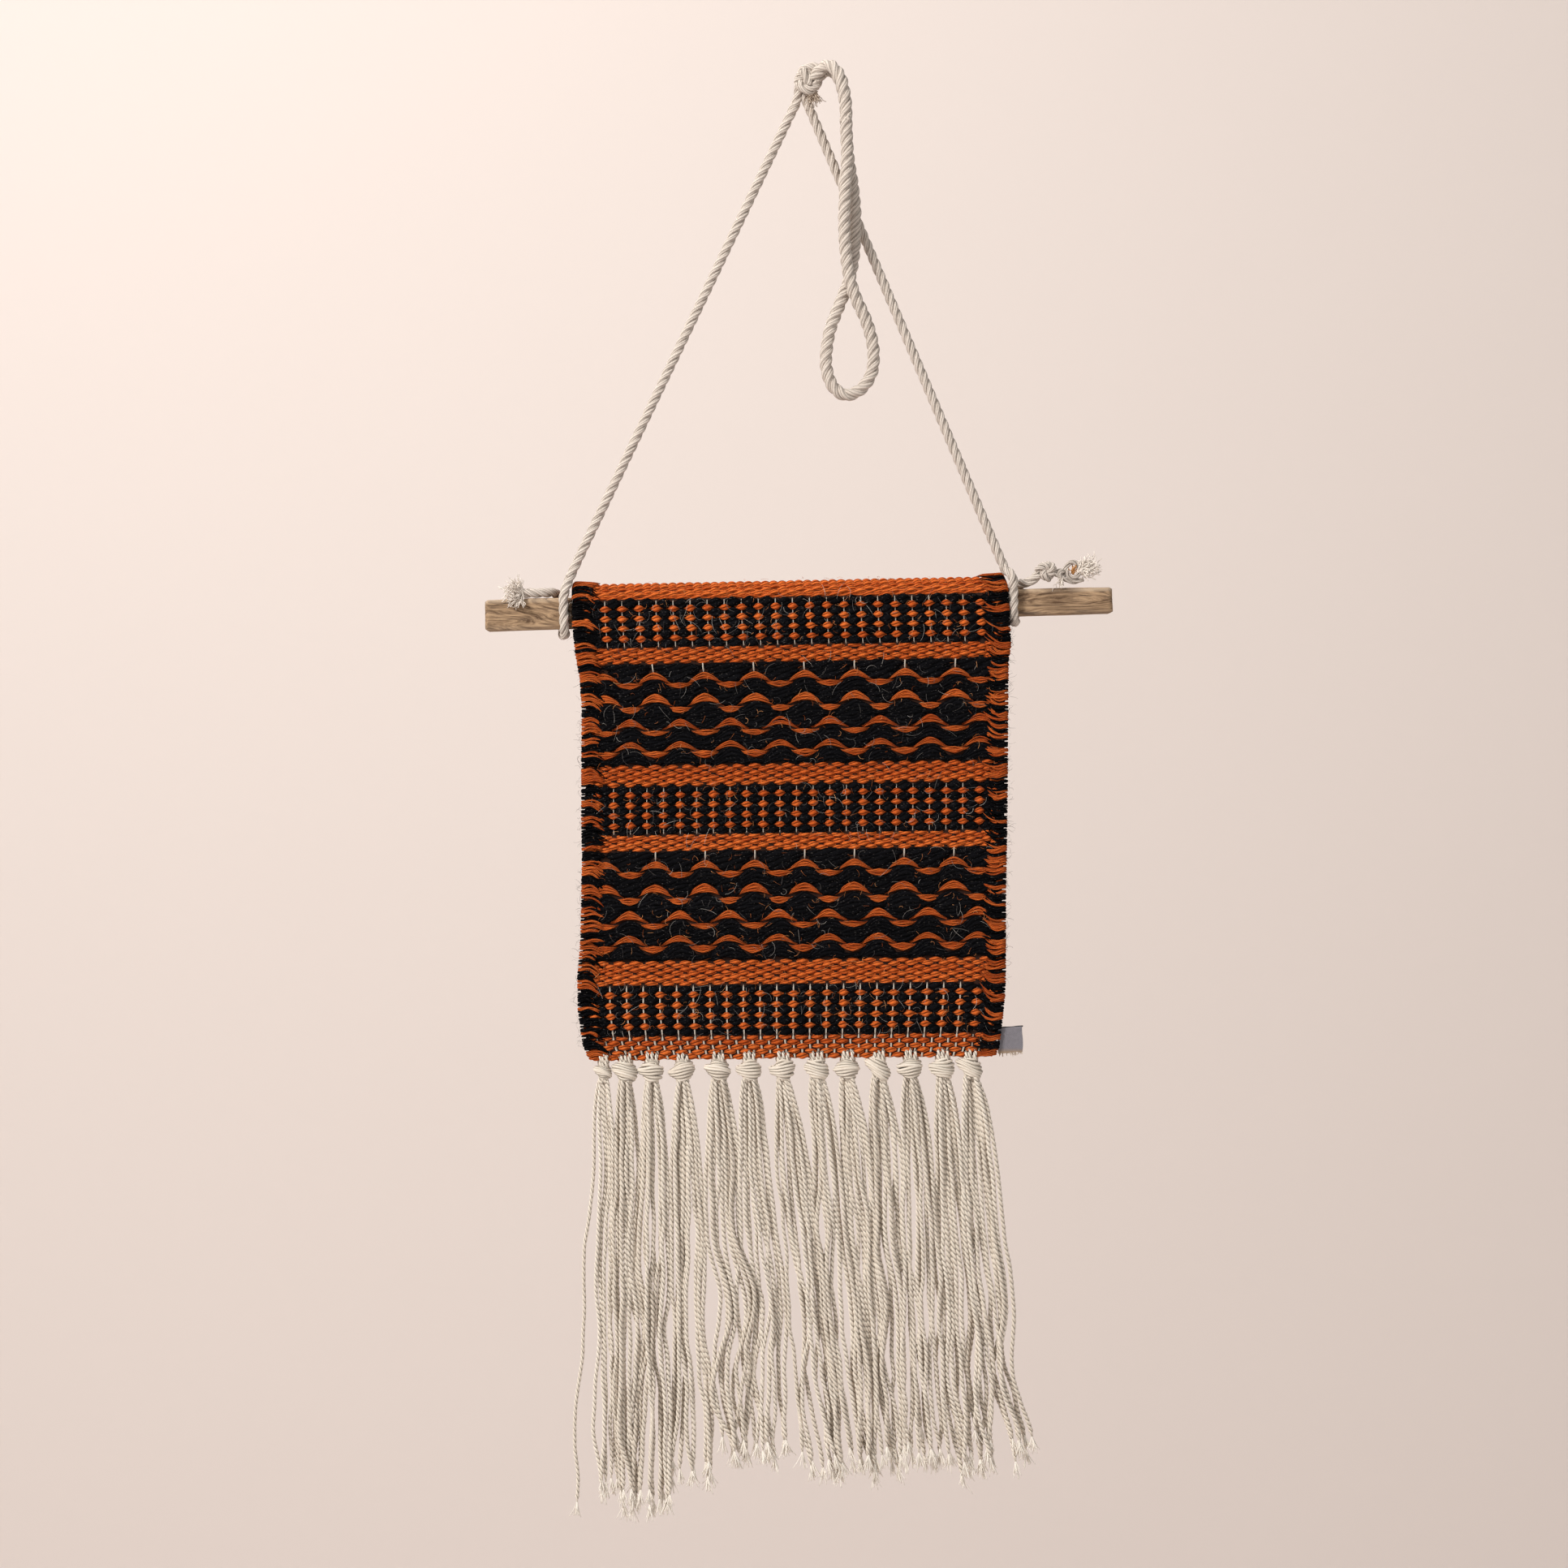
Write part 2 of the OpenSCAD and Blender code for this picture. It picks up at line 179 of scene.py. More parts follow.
def smoothRoute(points, step):
    # Catmull-Rom curve through the points, then even steps along it
    p = np.asarray(points, float)
    ends = np.vstack([2 * p[0] - p[1], p, 2 * p[-1] - p[-2]])
    t = np.linspace(0, 1, 24, endpoint=False)[:, None]
    a, b, c, d = (ends[i:len(ends) - 3 + i, None, :] for i in range(4))
    curve = 0.5 * (2 * b + (c - a) * t + (2 * a - 5 * b + 4 * c - d) * t ** 2
                   + (3 * b - a - 3 * c + d) * t ** 3)
    curve = np.vstack([curve.reshape(-1, 3), p[-1]])
    run = np.concatenate([[0], np.cumsum(np.linalg.norm(np.diff(curve, axis=0), axis=1))])
    count = max(int(round(run[-1] / step)), 3) + 1
    at = np.linspace(0, run[-1], count)
    return np.stack([np.interp(at, run, curve[:, k]) for k in range(3)], axis=1)


def directions(paths):
    # unit tangents of many paths at once: differences of the neighbours
    ahead = np.concatenate([paths[:, 1:], paths[:, -1:]], axis=1)
    behind = np.concatenate([paths[:, :1], paths[:, :-1]], axis=1)
    t = ahead - behind
    return t / np.maximum(np.linalg.norm(t, axis=2, keepdims=True), 1e-9)


def carriedFrames(paths, start=(0.0, 1.0, 0.0)):
    # two unit vectors square to each path, carried along it without twisting
    t = directions(paths)
    a = np.empty_like(t)
    now = np.tile(np.asarray(start, float), (len(paths), 1))
    for i in range(paths.shape[1]):
        now = now - (now * t[:, i]).sum(1, keepdims=True) * t[:, i]
        now = now / np.maximum(np.linalg.norm(now, axis=1, keepdims=True), 1e-9)
        a[:, i] = now
    return a, np.cross(t, a)


def tubes(paths, axisA, axisB, sides, ring=None, tone=None):
    # rings of points round many paths: path + cos * axisA + sin * axisB, each times the ring's shape
    s, n, _ = paths.shape
    angle = np.arange(sides) * 2 * math.pi / sides
    shape = np.ones((1, 1, sides)) if ring is None else ring
    cos = (np.cos(angle) * shape)[..., None]
    sin = (np.sin(angle) * shape)[..., None]
    verts = (paths[:, :, None] + cos * axisA[:, :, None] + sin * axisB[:, :, None]).reshape(-1, 3)
    base = (np.arange(s) * n * sides)[:, None, None]
    i = np.arange(n - 1)[None, :, None]
    j = np.arange(sides)[None, None, :]
    k = (j + 1) % sides
    quads = np.stack(np.broadcast_arrays(base + i * sides + j, base + i * sides + k,
                                         base + (i + 1) * sides + k, base + (i + 1) * sides + j),
                     axis=-1).reshape(-1, 4)
    run = np.concatenate([np.zeros((s, 1)),
                          np.cumsum(np.linalg.norm(np.diff(paths, axis=1), axis=2), axis=1)], axis=1)
    u = np.broadcast_to(j / sides, (s, n - 1, sides))
    v0 = np.broadcast_to(run[:, :-1, None], u.shape)
    v1 = np.broadcast_to(run[:, 1:, None], u.shape)
    w = u + 1 / sides
    uv = np.stack([np.stack([u, v0], -1), np.stack([w, v0], -1), np.stack([w, v1], -1),
                   np.stack([u, v1], -1)],
                  axis=3).reshape(-1, 4, 2)
    fan = np.arange(1, sides - 1)
    first = np.stack([np.zeros_like(fan), fan + 1, fan], axis=1)[None] + base
    last = np.stack([np.zeros_like(fan), fan, fan + 1], axis=1)[None] + base + (n - 1) * sides
    caps = np.concatenate([first, last]).reshape(-1, 3)
    middle = n // 2
    turn = (np.cross(axisA[:, middle], axisB[:, middle]) * directions(paths)[:, middle]).sum()
    if turn < 0:  # a left-handed frame would show its inside
        quads = quads[:, ::-1]
        uv = uv[:, ::-1]
        caps = caps[:, ::-1]
    each = np.full(s, 0.5) if tone is None else tone
    return {"verts": verts, "quads": quads, "uv": uv, "tris": caps, "tone": np.repeat(each, n * sides)}


def makePiece(name, parts, material):
    # one mesh from many tube sets; the arrays go straight into Blender
    offset = np.cumsum([0] + [len(p["verts"]) for p in parts])
    verts = np.concatenate([p["verts"] for p in parts])
    quads = np.concatenate([p["quads"] + o for p, o in zip(parts, offset)])
    tris = np.concatenate([p["tris"] + o for p, o in zip(parts, offset)])
    uv = np.concatenate([np.concatenate([p["uv"] for p in parts]).reshape(-1, 2),
                         np.zeros((len(tris) * 3, 2))])
    mesh = bpy.data.meshes.new(name)
    mesh.vertices.add(len(verts))
    mesh.vertices.foreach_set("co", verts.astype(np.float32).ravel())
    mesh.loops.add(len(quads) * 4 + len(tris) * 3)
    mesh.loops.foreach_set("vertex_index", np.concatenate([quads.ravel(), tris.ravel()]).astype(np.int32))
    mesh.polygons.add(len(quads) + len(tris))
    starts = np.concatenate([np.arange(len(quads)) * 4, len(quads) * 4 + np.arange(len(tris)) * 3])
    mesh.polygons.foreach_set("loop_start", starts.astype(np.int32))
    mesh.polygons.foreach_set("use_smooth", np.ones(len(starts), bool))
    mesh.uv_layers.new(name="round").data.foreach_set("uv", uv.astype(np.float32).ravel())
    mesh.update(calc_edges=True)
    tone = np.concatenate([p["tone"] for p in parts])
    mesh.attributes.new("tone", "FLOAT", "POINT").data.foreach_set("value", tone.astype(np.float32))
    mesh.validate()
    mesh.materials.append(material)
    piece = bpy.data.objects.new(name, mesh)
    bpy.context.scene.collection.objects.link(piece)
    return piece


def spread(low, high, count):
    # a column of even random numbers
    return rng.uniform(low, high, count)[:, None]


def scatter(size, count):
    # a column of bell-shaped random numbers round 0
    return rng.normal(0, size, count)[:, None]


def inMetres(x, y, z):
    # three arrays in mm as points in metres
    return np.stack(np.broadcast_arrays(x, y, z), axis=-1) * mm


def gridQuads(rows, columns, closed=False):
    # corner numbers of a grid of points; a closed grid joins its last column to its first
    i = np.arange(rows - 1)[:, None] * columns
    j = np.arange(columns if closed else columns - 1)[None]
    k = (j + 1) % columns
    return np.stack(np.broadcast_arrays(i + j, i + columns + j, i + columns + k, i + k),
                    axis=-1).reshape(-1, 4)


def settle(piece, body, slot, *nodes):
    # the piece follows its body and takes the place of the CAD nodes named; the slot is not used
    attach(piece, body)
    if nodes:
        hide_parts(*nodes)
    return piece


def roundTubes(paths, radius, sides, tone=None, start=(0.0, 1.0, 0.0)):
    # plain round tubes; the radius is one number or one per sample
    a, b = carriedFrames(paths, start)
    r = np.broadcast_to(np.asarray(radius, float), paths.shape[:2])[..., None]
    return tubes(paths, a * r, b * r, sides, tone=tone)


ropeSizes = {"taut": 4.8, "slack": 6.2, "pitch": 15.8, "samplesPerTurn": 16, "sides": 12, "away": 0.238,
             "strand": 0.27, "gap": 0.1}


def rope(route, diameter, start=(0.0, 1.0, 0.0), cuts=()):
    # three strands that turn round the route, each a tube of its own
    step = ropeSizes["pitch"] * mm / ropeSizes["samplesPerTurn"]
    line = smoothRoute(route, step)
    a, b = carriedFrames(line[None], start)
    run = np.arange(len(line)) * step
    angle = 2 * math.pi * run / (ropeSizes["pitch"] * mm) + np.arange(3)[:, None] * 2 * math.pi / 3
    away = diameter * ropeSizes["away"]
    strands = line + away * (np.cos(angle)[..., None] * a + np.sin(angle)[..., None] * b)
    size = np.full(len(line), diameter * ropeSizes["strand"])
    tone = rng.uniform(0.3, 0.8, 3)

    def laid(span):
        # the strands' tubes; the tone falls below 0 near the rope's middle, where they touch, as painted
        # shade in the crevices
        part = roundTubes(strands[:, span], size[None, span], ropeSizes["sides"], tone=tone, start=start)
        verts = part["verts"].reshape(3, -1, ropeSizes["sides"], 3)
        away = np.linalg.norm(verts - line[None, span, None], axis=3) / (diameter / 2)
        part["tone"] = (tone[:, None, None] - 1.7 * np.clip((0.80 - away) / 0.2, 0, 1)).ravel()
        return part

    if not cuts:
        return laid(slice(0, len(line))), line
    ends = [0] + [int(np.argmin(np.linalg.norm(line - np.asarray(c), axis=1)))
                  for c in cuts] + [len(line) - 1]
    made = []
    for low, high in zip(ends[:-1], ends[1:]):  # a cut rope keeps its strands in line across the cut
        span = slice(max(low - 1, 0), min(high + 2, len(line)))
        made.append((laid(span), line[span]))
    return made


def smoothNoise(count, samples, knots, size):
    # smooth random curves: random values at a few knots, cosine steps between them
    values = rng.normal(0, size, (count, knots + 1))
    at = np.linspace(0, knots - 1e-6, samples)
    i = at.astype(int)
    t = (1 - np.cos((at - i) * math.pi)) / 2
    return values[:, i] * (1 - t) + values[:, i + 1] * t


rodSizes = {"left": -154.4, "right": 149.7, "depth": 13.0, "leftHeight": 15.4, "rightHeight": 12.6,
            "chamfer": 2.5, "tilt": 1.4, "drop": 248.5, "samplesAlong": 220, "samplesRound": 48,
            "unevenness": 0.16, "bulge": 0.86, "endEase": 1.2, "endTaper": 0.12, "relief": 0.12}
tiltRod = math.radians(rodSizes["tilt"])


def fromRod(points):
    # rod frame in mm to the row frame in metres
    p = np.asarray(points, float)
    x = p[..., 0] * math.cos(tiltRod) - p[..., 2] * math.sin(tiltRod)
    z = -rodSizes["drop"] + p[..., 0] * math.sin(tiltRod) + p[..., 2] * math.cos(tiltRod)
    return inMetres(x, p[..., 1], z)


def rodHeight(u):
    # straight line from the left end's height to the right end's
    share = (u - rodSizes["left"]) / (rodSizes["right"] - rodSizes["left"])
    return rodSizes["leftHeight"] + (rodSizes["rightHeight"] - rodSizes["leftHeight"]) * share


clothSizes = {"warps": 50, "warpSpan": 50.5, "foldRadius": 9.8, "foldCentre": 2.3, "flapTurn": -8.5,
              "flapMeet": (-4.8, -26.0), "hemEnd": -40.0, "foldBelow": 44.0, "panelLength": 174.4,
              "topTilt": 1.15, "lowTilt": 0.65, "inset": 1.4, "perWarp": 5, "sides": 10}


def sectionTable():
    # the cloth's middle line in the rod's section, as distance down from the fold's front, y and height
    r = clothSizes["foldRadius"]
    c = clothSizes["foldCentre"]
    turn = np.linspace(0, math.pi, 40)
    front = [(-r, -clothSizes["foldBelow"] - clothSizes["panelLength"] - 10), (-r, c)]
    arc = [(-r * math.cos(a), c + r * math.sin(a)) for a in turn[1:]]
    flap = [(r, clothSizes["flapTurn"] + 3), (r - 0.6, clothSizes["flapTurn"] - 1.2),
            (clothSizes["flapMeet"][0] + 1.6, clothSizes["flapMeet"][1] + 2.5),
            (clothSizes["flapMeet"][0], clothSizes["flapMeet"][1] - 2.5),
            (clothSizes["flapMeet"][0], clothSizes["hemEnd"])]
    line = np.array(front + arc + flap)
    run = np.concatenate([[0], np.cumsum(np.linalg.norm(np.diff(line, axis=0), axis=1))])
    return run[1] - run, line[:, 0], line[:, 1]


downAt, yAt, wAt = sectionTable()
backEnd = downAt.min()
clothEnd = clothSizes["foldCentre"] + clothSizes["foldBelow"] + clothSizes["panelLength"]
leftOutline = np.array([[-236, -112.2], [-253, -111.8], [-268.6, -110.4], [-280.5, -108.2], [-295, -107.2],
                        [-348, -107.4], [-367, -107.0], [-407, -107.8], [-426, -109.3], [-442, -109.0],
                        [-458, -106.9], [-464, -104.6], [-469, -101.5]])
rightOutline = np.array([[-234, 96.6], [-241, 98.8], [-268.6, 100.2], [-276.5, 99.0], [-308, 98.7],
                         [-348, 98.4], [-387, 97.7], [-426, 97.6], [-438, 97.2], [-451, 95.8], [-462, 94.4],
                         [-467, 92.6]])


def section(down):
    # y, height and outward direction of the cloth's middle line, by interpolation in the table
    y = np.interp(-down, -downAt, yAt)
    w = np.interp(-down, -downAt, wAt)
    ny = -(np.interp(-down + 0.5, -downAt, wAt) - np.interp(-down - 0.5, -downAt, wAt))
    nw = np.interp(-down + 0.5, -downAt, yAt) - np.interp(-down - 0.5, -downAt, yAt)
    size = np.maximum(np.hypot(ny, nw), 1e-6)
    return y, w, ny / size, nw / size


def edgeX(down, table):
    # the outline's x where the cloth's middle line has that height
    _, w, _, _ = section(down)
    return np.interp(rodSizes["drop"] - w, -table[:, 0], table[:, 1])


def onCloth(share, down, out):
    # a point of the cloth: share of its width, distance down from the fold's front, distance out of it
    left = edgeX(down, leftOutline) + clothSizes["inset"]
    right = edgeX(down, rightOutline) - clothSizes["inset"]
    return atCloth(left + (right - left) * share, down, out)


def atCloth(x, down, out):
    # a point x across: the section's point, pushed out of the cloth, on lines that tilt a little
    y, w, ny, nw = section(down)
    tilt = np.radians(np.interp(down, [0, clothEnd], [clothSizes["topTilt"], clothSizes["lowTilt"]]))
    return inMetres(x, y + ny * out, -rodSizes["drop"] + w + nw * out + x * np.tan(tilt))


def clothAxes(down):
    # unit vectors of the cloth's section: down along the cloth and out of it
    _, _, ny, nw = section(down)
    zero = np.zeros_like(ny)
    return np.stack([zero, nw, -ny], axis=-1), np.stack([zero, ny, nw], axis=-1)


rust = yarnLook("rustWool", (0.30, 0.024, 0.002), (0.90, 0.215, 0.042), (0.85, 0.42, 0.2), 4,
                {"slant": 900, "shade": 0.25, "bump": 0.0007, "width": 0.55}, 0.9, 0.02, 0.2)
ink = yarnLook("blackWool", (0.0018, 0.0018, 0.0022), (0.007, 0.007, 0.009), (0.22, 0.20, 0.19), 4,
               {"slant": 800, "shade": 0.4, "bump": 0.0007, "width": 0.5}, 0.95, 0.0, 0.3)
warpCotton = yarnLook("warpCotton", (0.58, 0.50, 0.41), (0.88, 0.81, 0.72), (0.92, 0.88, 0.82), 2,
                      {"slant": 0, "shade": 0.42, "bump": 0.0003, "width": 0.55}, 0.85, 0.1, 0.3)
cordCotton = yarnLook("cordCotton", (0.47, 0.405, 0.35), (0.79, 0.71, 0.645), (0.85, 0.78, 0.72), 6,
                      {"slant": -1500, "shade": 0.55, "bump": 0.0003, "width": 0.4}, 0.85, 0.1, 0.3)
hemThread = yarnLook("hemThread", (0.25, 0.05, 0.01), (0.5, 0.14, 0.03), (0.6, 0.4, 0.3), 3,
                     {"slant": 1500, "shade": 0.5, "bump": 0.0002, "width": 0.45}, 0.8, 0.1, 0.2)


def hairLook(name, dark, light):
    # dark to light by each hair's tone and fine noise
    look = Look(name, 0.8, 0.0, 0.1)
    look.paint(look.mix((look.attribute("tone") + look.noise(look.place(), 900.0) * 0.5 - 0.25).clip(),
                        dark, light))
    return look.material


paleHair = hairLook("paleHair", (0.10, 0.09, 0.09), (0.55, 0.52, 0.48))
rustHair = hairLook("rustHair", (0.35, 0.08, 0.015), (0.85, 0.42, 0.18))
cordFibre = hairLook("cordFibre", (0.52, 0.45, 0.39), (0.90, 0.83, 0.76))
tipFibre = hairLook("tipFibre", (0.62, 0.55, 0.47), (0.95, 0.90, 0.83))
coreFibre = hairLook("coreFibre", (0.32, 0.13, 0.04), (0.62, 0.32, 0.12))


def woodLook():
    # grain: noise stretched along the rod and bent by slower noise; dark streaks; pale edges that are partly
    # wear and partly painted highlight, paler on the top two
    look = Look("rodWood", 0.7, 0.0, 0.3)
    place = look.place()
    slow = look.noise(look.stretch(place, 14, 60, 60), 1.0, 2.0)
    x, y, z = look.split(place)
    bent = look.add("ShaderNodeCombineXYZ", {}, x * 55.0, y * 620.0 + slow * 16.0,
                    z * 620.0 + slow * 22.0).outputs[0]
    grain = look.noise(bent, 1.0, 5.0, 0.62)
    fine = look.noise(look.stretch(place, 60, 4200, 4200), 1.0, 3.0, 0.6)
    streak = look.noise(look.stretch(place, 70, 640, 640), 1.0, 4.0, 0.7).between(0.53, 0.63)
    cloud = look.noise(look.stretch(place, 38, 110, 110), 1.0, 2.0).between(0.42, 0.66)
    body = look.mix(grain.between(0.36, 0.62), (0.098, 0.053, 0.027), (0.45, 0.30, 0.178))
    aged = look.mix((streak * (0.35 + cloud * 0.6)).clip(), body, (0.06, 0.036, 0.026))
    # pale edges: wear, with painted highlight where the top two are paler
    pale = look.mix((look.attribute("tone") * (0.55 + grain * 0.7)).clip(), aged, (0.60, 0.47, 0.345))
    pores = fine.between(0.62, 0.72)
    look.paint(look.mix(pores * 0.45, pale, (0.10, 0.06, 0.04)))
    look.rough(0.62 + grain * 0.2)
    look.bump(grain * 0.6 - pores * 0.5 + fine * 0.3, 0.0006, 0.7)
    return look.material


def labelLook():
    # plain weave: two sine waves across each other, crossed threads lighter than the gaps, whose darkness is
    # painted shade
    look = Look("labelCloth", 0.85, 0.2, 0.3)
    x, _, z = look.split(look.place())
    cross = (x * 9000.0).sin() * (z * 9000.0).sin() * 0.5 + 0.5
    blotch = look.noise(look.place(), 700.0, 3.0)
    body = look.mix((cross * 0.6 + blotch * 0.5).clip(), (0.13, 0.125, 0.15), (0.30, 0.285, 0.315))
    low = z.between((labelSizes["at"][2] + 0.8) * mm, (labelSizes["at"][2] + 2.6) * mm)
    look.paint(look.mix(low, (0.35, 0.25, 0.17), body))
    look.bump(cross + blotch, 0.0002)
    return look.material


print("materials ready")


def makeRod():
    # two parameters: along the rod and round its chamfered section, plus slow unevenness
    n, m = rodSizes["samplesAlong"], rodSizes["samplesRound"]
    c, bulge = rodSizes["chamfer"], rodSizes["bulge"]
    share = np.linspace(0, 1, n)
    u = rodSizes["left"] + (rodSizes["right"] - rodSizes["left"]) * share
    d = rodSizes["depth"] / 2
    h = rodHeight(u)[:, None] / 2
    corners = [(-1, 1), (1, 1), (1, -1), (-1, -1)]
    ys, zs, edgeWearAndHighlight = [], [], []
    per = m // 4
    for sy, sz in corners:  # each corner: a rounded chamfer, then the flat up to the next one
        a = np.linspace(0, math.pi / 2, per)
        first, second = (np.sin(a), np.cos(a)) if sy * sz > 0 else (np.cos(a), np.sin(a))
        ys.append(sy * (d - c + c * first ** bulge)[None, :] + 0 * h)
        zs.append(sz * (h - c + c * second ** bulge))
        edgeWearAndHighlight.append(np.sin(2 * a))
    y = np.concatenate(ys, axis=1)
    z = np.concatenate(zs, axis=1)
    tone = np.tile(np.concatenate(edgeWearAndHighlight), (n, 1))
    tone = tone * (0.55 + 0.45 * smoothNoise(1, n, 24, 0.7)[0][:, None]).clip(0, 1)
    # the top two edges paler than the lower two: painted highlight from the light above
    top = np.repeat([1, 1, 0.35, 0.35], per)[None]
    slow = smoothNoise(m, n, 14, rodSizes["unevenness"]).T
    slow = (slow + np.roll(slow, 1, 1) + np.roll(slow, 2, 1) + np.roll(slow, 3, 1)) / 2.4
    fine = rng.normal(0, 0.015, (n, m))
    grow = 1 + (slow + fine) / np.hypot(y, z)
    endShare = np.minimum(share, 1 - share) * (rodSizes["right"] - rodSizes["left"])
    ease = rodSizes["endEase"]
    shrink = np.where(endShare < ease, 1 - rodSizes["endTaper"] * (1 - endShare / ease) ** 2, 1)[:, None]
    rough = smoothNoise(1, m, 9, 0.25) * (endShare[:, None] < 4)
    x = u[:, None] + 0 * y + np.where(share[:, None] < 0.5, 1, -1) * rough
    ring = np.stack([x, y * grow * shrink, z * grow * shrink], axis=-1)
    close = []
    for i, side in ((0, 1), (-1, -1)):  # the end faces: rings that shrink to the middle
        for k, s in enumerate((0.93, 0.75, 0.5, 0.25, 0.02)):
            r = ring[i].copy()
            r[:, 1:] *= s
            r[:, 0] += -side * rodSizes["relief"] * k ** 0.5 + rng.normal(0, 0.03, m)
            close.append(r)
    ring = np.concatenate([np.array(close[:5])[::-1], ring, np.array(close[5:])])
    tone = np.concatenate([np.zeros((5, m)), tone * top, np.zeros((5, m))])
    total = len(ring)
    verts = fromRod(ring).reshape(-1, 3)
    quads = gridQuads(total, m, closed=True)
    fan = np.arange(1, m - 1)
    tris = np.concatenate([np.stack([fan * 0, fan, fan + 1], 1),
                           np.stack([fan * 0, fan + 1, fan], 1) + (total - 1) * m])
    ringMiddle = verts.reshape(total, m, 3).mean(1)
    centre = verts[quads].mean(1) - ringMiddle[np.minimum(quads[:, 0] // m, total - 1)]
    normal = np.cross(verts[quads[:, 1]] - verts[quads[:, 0]], verts[quads[:, 3]] - verts[quads[:, 0]])
    if (normal * centre).sum() < 0:
        quads = quads[:, ::-1]
        tris = tris[:, ::-1]
    uv = np.zeros((len(quads), 4, 2))
    piece = makePiece("rodStick",
                      [{"verts": verts, "quads": quads, "tris": tris, "uv": uv, "tone": tone.ravel()}],
                      woodLook())
    settle(piece, "rod", "rod_wood", "rod")


makeRod()
print("rod ready")


weave = {"plainPitch": 1.73, "plainHalf": 1.32, "hemPitch": 2.25, "hemHalf": 1.42, "checkerPitch": 2.57,
         "blackHalf": 2.5, "orangeHalf": 1.66, "jitter": 0.14}
warpPitch = 1 / clothSizes["warpSpan"]


def rowSamples():
    # even samples across the cloth, as warp numbers: whole numbers lie on a warp
    count = clothSizes["warps"] * clothSizes["perWarp"] + 1
    return np.linspace(-0.5, clothSizes["warpSpan"] - 0.5, count)


def clothYarn(down, out, high, thick):
    # flat tubes across the cloth: half as high as high says, half as thick as thick says, small at both ends
    share = (rowSamples() + 0.5) * warpPitch
    centre = onCloth(share[None] + 0 * down, down, out)
    alongDown, outward = clothAxes(down)
    ends = np.ones(len(share))
    ends[[0, -1]] = 0.3
    ends = ends[None, :, None]
    return tubes(centre, alongDown * high[..., None] * mm * ends, outward * (thick[..., None] * mm) * ends,
                 clothSizes["sides"], tone=rng.uniform(0.15, 0.85, len(down)))


def weaveRows(rows):
    # every row is one yarn, a cosine across the warps: in front of one and behind the next
    # a row is its place down the cloth, half height, phase, rise, bias, neck between warps, reach and power
    warp = rowSamples()
    down, half, phase, rise, bias, neck, reach, power = np.array(rows, float).T[..., None]
    # a bias keeps the yarn in front longer
    face = (np.cos(math.pi * (warp[None] - phase)) + bias) / (1 + bias)
    lift = np.sign(face) * np.abs(face) ** power
    crest = np.abs(face)
    wander = smoothNoise(len(rows), len(warp), 25, weave["jitter"])
    fat = 1 + smoothNoise(len(rows), len(warp), 50, 0.08)
    high = half * (neck + (1 - neck) * crest ** 0.8) * fat
    out = lift * reach + rise * (face > 0) + smoothNoise(len(rows), len(warp), 50, 0.07)
    return clothYarn(down + wander, out, high, 0.78 + 0.28 * crest)


def floatRows(floats, bandTop, stretchBy):
    # a float covers three warps, then dives for three; its yarns spread in the middle and meet at the tips
    parts = []
    warp = rowSamples()
    for colour, column, kind, top, low, yarns, reach in floats:
        x = (warp - (column + 2.0) + 3) % 6 - 3
        top, low = top * stretchBy, low * stretchBy
        height = low - top
        swing = (1 - np.cos(x * math.pi / 3)) / 2
        bow = {"peak": 4.3, "trough": -1.2, "flat": 0.0, "diamond": 0.0}[kind] * swing
        inside = np.clip(np.abs(x) / reach, 0, 1)
        behind = np.clip((3 - np.abs(x)) / (3 - reach), 0, 1)
        front = np.abs(x) < reach
        isBlack = colour == "black"
        power = 2.4 if isBlack and kind != "diamond" else 1.05
        least = 0.24 if isBlack else 0.15
        fan = least + (1 - least) * np.where(front, 1 - inside ** power, 1 - behind ** 2)
        lift = np.where(front, np.clip((1 - inside ** 3.5), 0, 1), -np.clip((1 - behind ** 3.5), 0, 1))
        lift = np.convolve(np.pad(lift, 2, mode="edge"), [0.1, 0.22, 0.36, 0.22, 0.1], "valid")
        offset = (np.arange(yarns) - (yarns - 1) / 2)[:, None] * height / yarns
        down = bandTop + (top + low) / 2 + bow + offset * fan + smoothNoise(yarns, len(warp), 30, 0.12)
        high = height / yarns * (0.62 if isBlack else 0.48) * (0.45 + 0.55 * fan)
        high = high * (1 + smoothNoise(yarns, len(warp), 50, 0.1))
        out = lift * (1.05 + 0.25 * (1 - np.abs(offset) / height)) + smoothNoise(yarns, len(warp), 50, 0.06)
        out = out + (0.16 if isBlack else 0.0) * (lift > 0)
        parts.append(clothYarn(down, out, high, (0.72 + 0.38 * np.abs(lift))[None]))
    return parts


def plainRows(top, low, pitch, half, lift):
    # plain weave: even rows that turn about
    count = max(int(round((low - top) / pitch)), 1)
    at = top + (np.arange(count) + 0.5) * (low - top) / count
    return [(d, half, i % 2, 0.0, 0.12, 0.6, lift, 0.7) for i, d in enumerate(at)]


def checkerRows(top, low):
    # black rows cross even warps and rust rows odd ones, turn about; black is first and last
    count = int(round((low - top - 2.2) / weave["checkerPitch"] / 2)) * 2 + 1
    at = np.linspace(top + 1.9, low - 1.9, count)
    black = [(d, weave["blackHalf"], 0, 0.1, 0.8, 0.36, 1.2, 0.55) for d in at[0::2]]
    orange = [(d, weave["orangeHalf"], 1, 0.35, 0.28, 0.22, 1.2, 0.8) for d in at[1::2]]
    return black, orange


